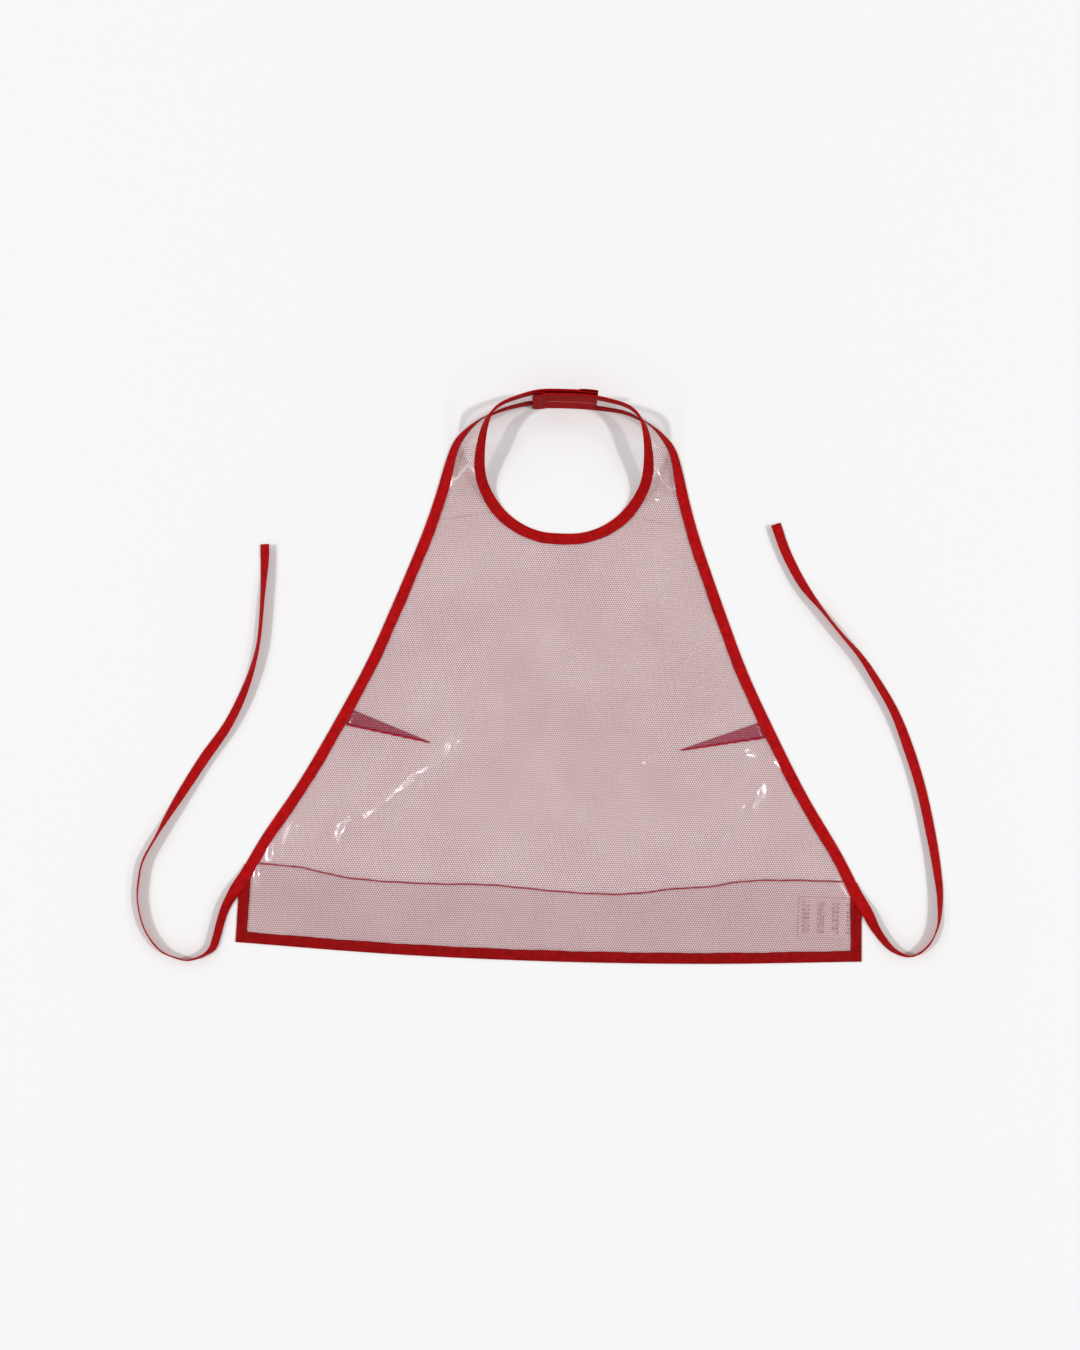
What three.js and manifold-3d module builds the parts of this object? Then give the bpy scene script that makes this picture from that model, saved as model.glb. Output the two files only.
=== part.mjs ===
// Clear net-vinyl hair-cutting cape of the apron kind, laid flat, in millimetres with +Z up.
// The body lies on Z = 0 with its hem towards -Y. Its neck band curls up on edge and closes at the back.
// Every edge is bound with folded tape. The loose ties go on from the side bindings.
import * as THREE from "three";
import { mergeVertices } from "three/addons/utils/BufferGeometryUtils.js";
import Module from "manifold-3d";

const wasm = await Module();
wasm.setup();

// ---- Driving dimensions ----
const SHEET = 0.5; // laminated net and film
const FILM = 0.3; // clear pocket film
const TAPE = 0.5; // one leaf of the binding tape
const CLEAR = 0.3; // gap between touching pieces
const LEAF = 11; // width of a folded binding
const HEM_HALF_WIDTH = 313;
const HEM_BOW = 9.5; // how far the hem's middle lies below its corners
const BODY_LENGTH = 546; // hem's middle to the crossing of neck edge and outer edge
const CORNER_HEIGHT = 68; // short upright edge above each hem corner
const WAIST_HALF_WIDTH = 209; // side outline at the darts' height
const WAIST_HEIGHT = 256; // above the hem's middle
const CHEST_HALF_WIDTH = 142;
const CHEST_HEIGHT = 416;
const NECK_HALF_WIDTH = 78.5; // half the neck opening
const NECK_DEPTH = 118; // front neckline's lowest point below the crossing
const BAND_WIDTH = 46; // standing neck band
const BACK_RISE = 7.8; // band's floor edge at centre back, beyond the crossing
const BACK_CROWN = 0.0011; // the back run's plan falls away from its middle by this times the distance squared
const BACK_LEAN = 7; // how far the band's top leans out at the back
const LEFT_REACH = 31; // left band's end past the centre line
const RIGHT_REACH = 33; // right band's end past the centre line
const LEFT_TAB = 19; // bound end of the left band
const RIGHT_TAB = 12;
const PATCH_THICK = 1.2;
const PATCH_MARGIN = 2; // between a patch and the bindings above and below it
const PATCH_LENGTH = 30;
const DART_LENGTH = 84;
const DART_DEPTH = 14;
const DART_FALL = 15; // the dart's tip lies this much lower than its root
const DART_HEIGHT = 231; // above the hem's middle
const THREAD_WIDE = 1.5;
const THREAD_THICK = 0.4;
const POCKET_HEIGHT = 69; // at mid-span, above the hem's middle
const POCKET_SAG = 19; // its ends lie this much higher
const LABEL_WIDE = 52;
const LABEL_TALL = 42;
const LABEL_HEIGHT = 31; // its lower edge above the hem's middle
const LABEL_THICK = 0.3;
const TIE_WIDE = 12;
const TIE_THICK = 1.2;
const TIE_END = 14; // folded and stitched end
const TIE_END_THICK = 2;
const HINGE_SHEET_GAP = 0.3; // sheets end this far from a band's bending line
const HINGE_TAPE_GAP = 1.4; // bindings end this far from it

// ---- Worked-out heights and levels ----
const BOUND = 2 * TAPE + 2 * CLEAR + SHEET; // whole thickness of a bound edge
const MID = BOUND / 2; // middle of the sheet over the surface it lies on
const SHEET_TOP = MID + SHEET / 2;
const UNDER_TOP = MID - SHEET / 2 - CLEAR; // what lies under the sheet ends here
const SLOT_END = TAPE + CLEAR; // sheet's edge behind the fold of a binding
const PITCH = SHEET + 4 * CLEAR + 2 * PATCH_THICK; // centre to centre of the two bands at the closure
const HEM_Y = -BODY_LENGTH / 2;
const CROSS_Y = BODY_LENGTH / 2;
const CROSS_HALF_WIDTH = NECK_HALF_WIDTH - 8;
const CORNER_Y = HEM_Y + HEM_BOW;
const CORNER_TOP_Y = CORNER_Y + CORNER_HEIGHT;
const CHEST_Y = HEM_Y + CHEST_HEIGHT;
const WAIST_Y = HEM_Y + WAIST_HEIGHT;
const NECKLINE_Y = CROSS_Y - NECK_DEPTH;
const SIDES = [["left", -1], ["right", 1]];
const RIBBON_PARTS = 6;

const RED_TAPE = { color: 0xa51417, roughness: 0.62, metalness: 0 };
const RED_THREAD = { color: 0x95222c, roughness: 0.7, metalness: 0 };
const NET_VINYL = { color: 0xcbb2b2, roughness: 0.2, metalness: 0 };
const CLEAR_FILM = { color: 0xdedada, roughness: 0.12, metalness: 0 };
const LABEL_CLOTH = { color: 0xe6dddd, roughness: 0.6, metalness: 0 };
const PATCH_RED = { color: 0x8f1518, roughness: 0.85, metalness: 0 };

const cape = new THREE.Group();

function addPiece(name, geometry, finish) {
  const mesh = new THREE.Mesh(geometry, new THREE.MeshStandardMaterial(finish));
  mesh.name = name;
  cape.add(mesh);
}

const vec = (x, y, z = MID) => new THREE.Vector3(x, y, z);

function smooth(points, steps) {
  return new THREE.CatmullRomCurve3(points, false, "centripetal").getPoints(steps);
}

// Sweeps one closed counter-clockwise section of (across, through) points along frames.
function sweep(section, frames) {
  const count = section.length;
  const places = [];
  for (const { at, across, through } of frames) {
    for (const [a, b] of section) {
      places.push(...vec(0, 0, 0).copy(at).addScaledVector(across, a).addScaledVector(through, b).toArray());
    }
  }
  const faces = [];
  for (let ring = 0; ring + 1 < frames.length; ring += 1) {
    for (let k = 0; k < count; k += 1) {
      const near = ring * count + k;
      const next = ring * count + ((k + 1) % count);
      faces.push(near, next, next + count, near, next + count, near + count);
    }
  }
  const flat = section.map(([a, b]) => new THREE.Vector2(a, b));
  const last = (frames.length - 1) * count;
  for (const [p, q, r] of THREE.ShapeUtils.triangulateShape(flat, [])) {
    faces.push(p, r, q, last + p, last + q, last + r);
  }
  const geometry = new THREE.BufferGeometry();
  geometry.setAttribute("position", new THREE.Float32BufferAttribute(places, 3));
  geometry.setIndex(faces);
  return facingOut(geometry);
}

function signedVolume(geometry) {
  const p = geometry.getAttribute("position");
  const index = geometry.getIndex();
  const corner = [vec(0, 0), vec(0, 0), vec(0, 0)];
  let total = 0;
  for (let k = 0; k < index.count; k += 3) {
    corner.forEach((c, j) => c.fromBufferAttribute(p, index.getX(k + j)));
    total += corner[0].dot(corner[1].clone().cross(corner[2]));
  }
  return total;
}

function facingOut(geometry) {
  if (signedVolume(geometry) < 0) {
    const index = geometry.getIndex();
    for (let k = 0; k < index.count; k += 3) {
      const second = index.getX(k + 1);
      index.setX(k + 1, index.getX(k + 2));
      index.setX(k + 2, second);
    }
  }
  return geometry;
}

const rectangle = (a0, a1, b0, b1) => [[a0, b0], [a1, b0], [a1, b1], [a0, b1]];

// A thin ribbon's section from 0 to 1 across, with enough points to follow a twist.
function ribbon(half) {
  const shares = Array.from({ length: RIBBON_PARTS + 1 }, (_, k) => k / RIBBON_PARTS);
  return [...shares.map((a) => [a, -half]), ...shares.reverse().map((a) => [a, half])];
}

// A folded tape: open towards larger "across", closed by its fold at 0.
function channel(width) {
  const out = BOUND / 2;
  const inside = out - TAPE;
  return [[0, -out], [width, -out], [width, -inside], [TAPE, -inside], [TAPE, inside],
    [width, inside], [width, out], [0, out]];
}

// Frames along a flat outline whose inside is on its left. Corners are mitred.
function flatFrames(points) {
  return points.map((at, k) => {
    const before = points[Math.max(k - 1, 0)];
    const after = points[Math.min(k + 1, points.length - 1)];
    const come = at.clone().sub(before).setZ(0);
    const go = after.clone().sub(at).setZ(0);
    const a = (come.lengthSq() > 0 ? come : go).clone().normalize();
    const b = (go.lengthSq() > 0 ? go : come).clone().normalize();
    const across = vec(-a.y - b.y, a.x + b.x, 0).normalize();
    const mitre = across.dot(vec(-a.y, a.x, 0));
    return { at, across: across.divideScalar(mitre), through: vec(0, 0, 1) };
  });
}

function plate(outline, low, high) {
  const shape = new THREE.Shape(outline.map((p) => new THREE.Vector2(p.x, p.y)));
  const geometry = new THREE.ExtrudeGeometry(shape, { depth: high - low, bevelEnabled: false, steps: 1 });
  return geometry.translate(0, 0, low);
}

function toSolid(geometry) {
  const bare = geometry.clone();
  bare.deleteAttribute("normal");
  bare.deleteAttribute("uv");
  const merged = mergeVertices(bare, 1e-4);
  return new wasm.Manifold(new wasm.Mesh({
    numProp: 3,
    vertProperties: new Float32Array(merged.getAttribute("position").array),
    triVerts: new Uint32Array(merged.getIndex().array),
  }));
}

function fromSolid(solid) {
  const mesh = solid.getMesh();
  const geometry = new THREE.BufferGeometry();
  geometry.setAttribute("position", new THREE.BufferAttribute(mesh.vertProperties, 3));
  geometry.setIndex(new THREE.BufferAttribute(mesh.triVerts, 1));
  return geometry;
}

// ---- Outlines ----
// Side outline from the corner's top up to the start of the shoulder, for one side.
function sideOutline(side) {
  const chestSlope = (CHEST_Y - WAIST_Y) / 160;
  const key = [
    vec(side * (HEM_HALF_WIDTH - 2), CORNER_TOP_Y),
    vec(side * (HEM_HALF_WIDTH - 22), CORNER_TOP_Y + 37),
    vec(side * (HEM_HALF_WIDTH - 60), CORNER_TOP_Y + 97),
    vec(side * (WAIST_HALF_WIDTH + 8), WAIST_Y - 15),
    vec(side * (WAIST_HALF_WIDTH - 18.5), WAIST_Y + 38 * chestSlope),
    vec(side * (CHEST_HALF_WIDTH + 23), CHEST_Y - 60 * chestSlope),
    vec(side * CHEST_HALF_WIDTH, CHEST_Y),
    vec(side * (CHEST_HALF_WIDTH - 7), CHEST_Y + 20),
  ];
  return smooth(key, 36);
}

// The band's two edges, paired from the shoulder to the crossing at the back of the neck.
// Each row is [outer x, outer y, neck x, neck y, neck edge's height].
function shoulderRows() {
  const c = CROSS_HALF_WIDTH;
  const n = NECK_HALF_WIDTH;
  const w = CHEST_HALF_WIDTH;
  return [
    [w - 7, CHEST_Y + 20, n - 20.5, CROSS_Y - 97, 0],
    [w - 13.2, CHEST_Y + 40, n - 9.5, CROSS_Y - 82, 4],
    [w - 18.7, CHEST_Y + 60, n - 1.7, CROSS_Y - 66, 14],
    [w - 24, CROSS_Y - 50, n, CROSS_Y - 49, 25],
    [w - 32, CROSS_Y - 28, n - 0.5, CROSS_Y - 34, 35],
    [c + 29.5, CROSS_Y - 17.5, n - 2, CROSS_Y - 20, 39],
    [c + 18.5, CROSS_Y - 9, n - 4.5, CROSS_Y - 9.5, 42.5],
    [c, CROSS_Y, c, CROSS_Y, BAND_WIDTH],
  ];
}

// The back run beyond the crossing. The outer layer of the closure lies PITCH further out.
function backRows(reach, layer) {
  const c = CROSS_HALF_WIDTH;
  const free = c - RIGHT_REACH; // one band alone, where the outer layer moves out before the other one's end
  const lift = layer * PITCH;
  const row = (x, share, lean) => {
    const y = CROSS_Y + BACK_RISE - BACK_CROWN * x * x + share * lift;
    return [x, y, x, y + lean, BAND_WIDTH - 0.5];
  };
  return [
    [c, CROSS_Y, c, CROSS_Y, BAND_WIDTH],
    row(c - free / 3, 0.05, 3),
    row(c - free * 0.72, 0.55, 5),
    row(c - free * 1.12, 0.97, BACK_LEAN),
    row(14, 1, BACK_LEAN),
    row(0, 1, BACK_LEAN),
    row(-14, 1, BACK_LEAN),
    row(-reach, 1, BACK_LEAN),
  ];
}

// Both edges as smooth curves, with the outer edge's binding resting on the surface.
function bandEdges(rows, side, steps) {
  const reach = rows.map(([ox, oy, nx, ny]) => Math.hypot(ox - nx, oy - ny));
  const outer = rows.map(([ox, oy, , , z], k) => vec(side * ox, oy, MID * reach[k] / Math.hypot(reach[k], z)));
  const neck = rows.map(([, , nx, ny, z], k) => vec(side * nx, ny, Math.max(z, outer[k].z)));
  return { outer: smooth(outer, steps), neck: smooth(neck, steps) };
}

// Frames along one edge of a band. "across" runs along the rulings, so every layer follows the same surface.
function edgeFrames(edge, other) {
  return edge.map((at, k) => {
    const along = edge[Math.min(k + 1, edge.length - 1)].clone().sub(edge[Math.max(k - 1, 0)]).normalize();
    const ruling = other[k].clone().sub(at).normalize();
    const through = along.clone().cross(ruling).normalize();
    const sine = along.clone().cross(ruling).length();
    return { at, across: ruling.divideScalar(sine), through };
  });
}

// The band's sheet, between the two bindings' folds.
function bandSheet(edges, first, last) {
  const half = SHEET / 2;
  const out = edgeFrames(edges.outer, edges.neck).slice(first, last);
  const top = edgeFrames(edges.neck, edges.outer).slice(first, last);
  const frames = out.map((frame, k) => {
    const low = frame.at.clone().addScaledVector(frame.across, SLOT_END);
    const high = top[k].at.clone().addScaledVector(top[k].across, SLOT_END);
    return { at: low, across: high.sub(low), through: frame.through };
  });
  return sweep(ribbon(half), frames);
}

// Cuts a run of points at a distance before its end, along its length.
function shortened(points, start, end) {
  const path = new THREE.CurvePath();
  for (let k = 0; k + 1 < points.length; k += 1) {
    path.add(new THREE.LineCurve3(points[k], points[k + 1]));
  }
  const whole = path.getLength();
  const from = start / whole;
  const to = 1 - end / whole;
  const kept = points.map((_, k) => from + (to - from) * k / (points.length - 1));
  return kept.map((t) => path.getPointAt(t));
}

const shortenedEdges = (edges, start, end) => ({
  outer: shortened(edges.outer, start, end),
  neck: shortened(edges.neck, start, end),
});

const SHOULDER_STEPS = 42;
const BACK_STEPS = 26;
const shoulders = {
  left: bandEdges(shoulderRows(), -1, SHOULDER_STEPS),
  right: bandEdges(shoulderRows(), 1, SHOULDER_STEPS),
};
const backs = {
  left: bandEdges(backRows(LEFT_REACH, 1), -1, BACK_STEPS),
  right: bandEdges(backRows(RIGHT_REACH, 0), 1, BACK_STEPS),
};

// Neckline between the two shoulders, from left to right.
function frontNeckline() {
  const key = [[NECK_HALF_WIDTH - 20.5, CROSS_Y - 97], [NECK_HALF_WIDTH - 36, CROSS_Y - 108.5],
    [NECK_HALF_WIDTH - 57, NECKLINE_Y + 1.2]];
  const left = key.map(([x, y]) => vec(-x, y));
  const right = key.map(([x, y]) => vec(x, y)).reverse();
  return smooth([...left, vec(0, NECKLINE_Y), ...right], 24);
}

// Hem from the left corner to the right one.
function hemLine() {
  const half = HEM_HALF_WIDTH;
  return smooth([vec(-half, CORNER_Y), vec(-half / 2, HEM_Y + HEM_BOW * 0.25), vec(0, HEM_Y),
    vec(half / 2, HEM_Y + HEM_BOW * 0.25), vec(half, CORNER_Y)], 24);
}

function inset(points, distance) {
  return flatFrames(points).map(({ at, across }) => at.clone().addScaledVector(across, distance));
}

const cornerTop = (side) => vec(side * (HEM_HALF_WIDTH - 2), CORNER_TOP_Y);
const leftSideDown = sideOutline(-1).reverse();
const rightSideUp = sideOutline(1);
const hemRun = [cornerTop(-1), ...hemLine(), cornerTop(1)];
const lowerOutline = [...leftSideDown, ...hemRun.slice(1, -1), ...rightSideUp];

// ---- Sheet of the body, in one piece with its shoulders ----
function bodySheet() {
  const low = MID - SHEET / 2;
  const high = MID + SHEET / 2;
  const rim = inset(lowerOutline, SLOT_END);
  const neck = inset(frontNeckline().reverse(), SLOT_END);
  let solid = toSolid(plate([...rim, ...neck], low, high));
  for (const [name, side] of SIDES) {
    const edges = shortenedEdges(shoulders[name], 0, HINGE_SHEET_GAP);
    const start = {
      outer: [edges.outer[0].clone().add(vec(side * 1.5, -6, 0)), ...edges.outer],
      neck: [edges.neck[0].clone().add(vec(-side * 4, -3, 0)), ...edges.neck],
    };
    solid = solid.add(toSolid(bandSheet(start, 0, start.outer.length)));
  }
  return fromSolid(solid);
}
addPiece("body_sheet", bodySheet(), NET_VINYL);

// ---- Bindings of the body ----
const lowerFrames = flatFrames(lowerOutline);
const leftTop = leftSideDown.length - 1;
const rightTop = leftTop + hemRun.length - 1;

function moved(frame, towards, distance) {
  const way = towards.clone().sub(frame.at).setLength(distance);
  return { ...frame, at: frame.at.clone().add(way) };
}

function bodyNeckBinding() {
  const rise = ([name, side]) => {
    const edges = shortenedEdges(shoulders[name], 0, HINGE_TAPE_GAP);
    return edgeFrames(edges.neck, edges.outer)
      .map((frame) => ({ ...frame, through: frame.through.multiplyScalar(-side) }));
  };
  const front = flatFrames(frontNeckline()).slice(1, -1)
    .map((frame) => ({ ...frame, across: frame.across.multiplyScalar(-1) }));
  return sweep(channel(LEAF), [...rise(SIDES[0]).reverse(), ...front, ...rise(SIDES[1])]);
}

function sideBinding(name, side) {
  const flat = side > 0 ? lowerFrames.slice(rightTop) : lowerFrames.slice(0, leftTop + 1).reverse();
  flat[0] = moved(flat[0], flat[1].at, CLEAR);
  const edges = shortenedEdges(shoulders[name], 0, HINGE_TAPE_GAP);
  const rise = edgeFrames(edges.outer, edges.neck)
    .map((frame) => ({ ...frame, through: frame.through.multiplyScalar(side) }));
  return sweep(channel(LEAF), [...flat.slice(0, -1), ...rise]);
}

function hemBinding() {
  const frames = lowerFrames.slice(leftTop, rightTop + 1);
  frames[0] = moved(frames[0], frames[1].at, CLEAR);
  frames[frames.length - 1] = moved(frames.at(-1), frames.at(-2).at, CLEAR);
  return sweep(channel(LEAF), frames);
}

addPiece("neck_binding", bodyNeckBinding(), RED_TAPE);
addPiece("hem_binding", hemBinding(), RED_TAPE);
for (const [name, side] of SIDES) {
  addPiece(`side_binding_${name}`, sideBinding(name, side), RED_TAPE);
}

// ---- Neck bands behind the crossing, with their closure ----
const BANDS = [
  { name: "left", side: -1, tab: LEFT_TAB, patch: "hook_patch", facing: -1 },
  { name: "right", side: 1, tab: RIGHT_TAB, patch: "loop_patch", facing: 1 },
];

function bandEdgeBinding(edges, from, to) {
  const kept = shortenedEdges(edges, HINGE_TAPE_GAP, to);
  return {
    neck: sweep(channel(LEAF), edgeFrames(kept.neck, kept.outer)),
    outer: sweep(channel(LEAF), edgeFrames(kept.outer, kept.neck)),
  };
}

// The bound end: a tape folded over the band's end, from floor edge to top.
function bandEnd(edges, tab) {
  const back = shortenedEdges(edges, 0, tab);
  const low = edges.outer.at(-1);
  const high = edges.neck.at(-1);
  const across = back.outer.at(-1).clone().sub(low).normalize();
  const through = across.clone().cross(high.clone().sub(low)).normalize();
  return sweep(channel(tab), [{ at: low, across, through }, { at: high, across, through }]);
}

// One half of the hook-and-loop closure, on the face of the band that meets the other band.
function patch(edges, tab, facing) {
  const path = shortenedEdges(edges, 0, tab + 1);
  const whole = new THREE.CatmullRomCurve3(path.outer).getLength();
  const kept = shortenedEdges(path, whole - PATCH_LENGTH, 0);
  const frames = edgeFrames(kept.outer, kept.neck).filter((_, k) => k % 3 === 0);
  const towards = Math.sign(frames[0].through.y) === facing ? 1 : -1;
  const near = towards * (SHEET / 2 + CLEAR);
  const far = towards * (SHEET / 2 + CLEAR + PATCH_THICK);
  const low = LEAF + PATCH_MARGIN;
  return sweep(rectangle(low, BAND_WIDTH - low, Math.min(near, far), Math.max(near, far)), frames);
}

for (const { name, tab, patch: patchName, facing } of BANDS) {
  const edges = backs[name];
  const sheetEdges = shortenedEdges(edges, HINGE_SHEET_GAP, SLOT_END);
  addPiece(`neck_band_sheet_${name}`, bandSheet(sheetEdges, 0, sheetEdges.outer.length), NET_VINYL);
  const bindings = bandEdgeBinding(edges, HINGE_TAPE_GAP, tab + CLEAR);
  addPiece(`neck_band_top_binding_${name}`, bindings.neck, RED_TAPE);
  addPiece(`neck_band_lower_binding_${name}`, bindings.outer, RED_TAPE);
  addPiece(`neck_band_end_binding_${name}`, bandEnd(edges, tab), RED_TAPE);
  addPiece(patchName, patch(edges, tab, facing), PATCH_RED);
}

// ---- Darts: the sheet's fold below it and the row of stitches on top ----
const DART_Y = HEM_Y + DART_HEIGHT;

// Where a binding's inner leaf ends on the side outline, at a level.
function leafEnd(side, y) {
  const rim = inset(lowerOutline, LEAF + CLEAR).filter((p) => p.x * side > 0);
  const pair = rim.findIndex((p, k) => k + 1 < rim.length && (p.y - y) * (rim[k + 1].y - y) <= 0);
  const [p, q] = [rim[pair], rim[pair + 1]];
  return p.x + (q.x - p.x) * (y - p.y) / (q.y - p.y || 1);
}

for (const [name, side] of SIDES) {
  const root = vec(leafEnd(side, DART_Y), DART_Y);
  const top = vec(leafEnd(side, DART_Y + DART_DEPTH), DART_Y + DART_DEPTH);
  const tip = vec(root.x - side * DART_LENGTH, DART_Y - DART_FALL);
  addPiece(`dart_fold_${name}`, plate([root, top, tip], 0.05, UNDER_TOP), NET_VINYL);
  const bar = inset(side > 0 ? [tip, root] : [root, tip], -THREAD_WIDE);
  const barEnd = bar[side > 0 ? 1 : 0];
  barEnd.x = leafEnd(side, barEnd.y);
  const row = side > 0 ? [tip, root, ...bar.reverse()] : [root, tip, ...bar.reverse()];
  const low = SHEET_TOP + CLEAR;
  addPiece(`dart_stitching_${name}`, plate(row, low, low + THREAD_THICK), RED_THREAD);
}

// ---- Clear pocket along the hem, with its overlocked top edge ----
// How the top edge wanders: [share of the hem's half width, share of the rise towards its ends].
const POCKET_WAVE = [[-0.8, 0.86], [-0.65, 0.4], [-0.4, 0.21], [-0.2, 0.25], [0.05, 0], [0.25, 0], [0.4, 0.36],
  [0.5, 0.5], [0.62, 0.86], [0.8, 1]];

function pocketTop(rise) {
  const middle = HEM_Y + POCKET_HEIGHT;
  const ends = SIDES.map(([, side]) => {
    const y = middle + POCKET_SAG;
    return vec(leafEnd(side, y + rise), y + rise);
  });
  const inner = POCKET_WAVE.map(([share, lift]) => vec(share * HEM_HALF_WIDTH, middle + POCKET_SAG * lift + rise));
  return smooth([ends[0], ...inner, ends[1]], 44);
}

function pocketFilm() {
  const level = HEM_Y + POCKET_HEIGHT + POCKET_SAG;
  const rim = inset(lowerOutline, LEAF + CLEAR).filter((p) => p.y < level - 0.5);
  const low = SHEET_TOP + CLEAR;
  return plate([...rim, ...pocketTop(0).reverse()], low, low + FILM);
}

function pocketEdge() {
  const lower = pocketTop(CLEAR);
  const upper = pocketTop(CLEAR + THREAD_WIDE).reverse();
  const low = SHEET_TOP + CLEAR;
  return plate([...lower, ...upper], low, low + THREAD_THICK);
}
addPiece("pocket_film", pocketFilm(), CLEAR_FILM);
addPiece("pocket_overlock_edge", pocketEdge(), RED_THREAD);

// ---- Care label, sewn in at the right side, below the sheet ----
const labelLow = HEM_Y + LABEL_HEIGHT;
const labelEnd = leafEnd(1, labelLow + LABEL_TALL / 2) - 2 * CLEAR;
addPiece("care_label", plate([
  vec(labelEnd - LABEL_WIDE, labelLow), vec(labelEnd, labelLow),
  vec(labelEnd, labelLow + LABEL_TALL), vec(labelEnd - LABEL_WIDE, labelLow + LABEL_TALL),
], UNDER_TOP - LABEL_THICK, UNDER_TOP), LABEL_CLOTH);

// ---- Ties: tape that goes on from the side bindings, as it lies, with how far it stands on edge ----
// Each row is [x, y, tilt in degrees], from root to end.
const TIE_ROUTES = {
  left: [
    [-311.1, -192.2, 88], [-314.3, -197.6, 80], [-317.6, -204.6, 66], [-319.8, -212.2, 62],
    [-323.3, -226.3, 65], [-327.8, -243.5, 64], [-331.3, -258.6, 60], [-335, -269.7, 63],
    [-341.8, -275.9, 76], [-350.7, -280.2, 79], [-360.6, -282.5, 79], [-372.7, -279.9, 79],
    [-385.9, -274.3, 77], [-397.2, -262.7, 76], [-404.6, -249.9, 76], [-409.1, -236, 76],
    [-411.5, -221.1, 77], [-411, -207.1, 75], [-407.6, -186, 77], [-394.5, -159.5, 74],
    [-385, -141.2, 58], [-368, -111.7, 36], [-348.9, -80.1, 28], [-327.9, -48.4, 36], [-314.8, -21, 44],
    [-304.7, 8.4, 58], [-298.6, 37.6, 68], [-296.1, 83.7, 62], [-295.2, 118.7, 42], [-295.7, 134.7, 42],
  ],
  right: [
    [311.1, -192.2, 88], [314, -197.4, 78], [316.6, -204.6, 62], [318.7, -216.2, 50],
    [328.3, -234.9, 60], [343.7, -250.4, 69], [361.9, -255.8, 79], [377.6, -245.3, 79], [387, -226, 70],
    [388.6, -198.9, 52], [384.6, -168, 38], [375.8, -125.3, 29], [365.8, -86.6, 28], [352, -47, 26],
    [337.6, -13.4, 38], [319.6, 16, 45], [302.4, 40.5, 58], [281.2, 63.8, 70], [260.6, 88.1, 66],
    [241.8, 111.5, 40], [224.6, 142.1, 32], [213.2, 170.7, 32],
  ],
};

function tieFrames(route, side) {
  const turns = route.map(([, , tilt]) => THREE.MathUtils.degToRad(tilt));
  const half = TIE_WIDE / 2;
  const keys = route.map(([x, y], k) => {
    const height = half * Math.sin(turns[k]) + (TIE_END_THICK / 2) * Math.cos(turns[k]);
    return vec(x, y, height);
  });
  const path = new THREE.CatmullRomCurve3(keys, false, "centripetal");
  const tilts = new THREE.CatmullRomCurve3(turns.map((turn, k) => vec(turn, k, 0)), false, "centripetal");
  const steps = 72;
  return Array.from({ length: steps + 1 }, (_, k) => {
    const at = path.getPoint(k / steps);
    const along = path.getTangent(k / steps).setZ(0).normalize();
    const tilt = tilts.getPoint(k / steps).x;
    const level = vec(-along.y * side, along.x * side, 0);
    const across = level.multiplyScalar(Math.cos(tilt)).add(vec(0, 0, Math.sin(tilt)));
    const through = along.clone().cross(across).normalize();
    return { at, across, through };
  });
}

for (const [name, side] of SIDES) {
  const frames = tieFrames(TIE_ROUTES[name], side);
  const wide = TIE_WIDE / 2;
  const thick = TIE_THICK / 2;
  const lengths = frames.map((frame, k) => (k ? frame.at.distanceTo(frames[k - 1].at) : 0));
  const total = lengths.reduce((sum, x) => sum + x, 0);
  let run = 0;
  const split = lengths.findIndex((x) => (run += x) > total - TIE_END);
  addPiece(`tie_${name}`, sweep(rectangle(-wide, wide, -thick, thick), frames.slice(0, split)), RED_TAPE);
  const end = frames.slice(split - 1);
  end[0] = moved(end[0], end[1].at, CLEAR);
  const bulk = TIE_END_THICK / 2;
  addPiece(`tie_end_${name}`, sweep(rectangle(-wide, wide, -bulk, bulk), end), RED_TAPE);
}

// ---- The frame: the origin is the middle of the body's foot print, ties left out ----
const extent = new THREE.Box3();
for (const mesh of cape.children) {
  mesh.geometry.computeBoundingBox();
  if (!mesh.name.startsWith("tie_")) {
    extent.union(mesh.geometry.boundingBox);
  }
}
const middle = extent.getCenter(vec(0, 0, 0));
for (const mesh of cape.children) {
  mesh.geometry.translate(-middle.x, -middle.y, -extent.min.z);
}

export default cape;
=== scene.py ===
"""Clear net-vinyl hair-cutting cape, laid flat.

Its edges are bound in red. The neck band stands on edge and closes behind the neck.
Two loose ties lie beside it.
"""

from __future__ import annotations

import logging
import math
import random
from dataclasses import dataclass, field
from enum import Enum
from typing import Callable, Iterable, Sequence

import bmesh
import bpy
import numpy as np
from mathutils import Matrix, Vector
from mathutils.geometry import delaunay_2d_cdt

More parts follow.
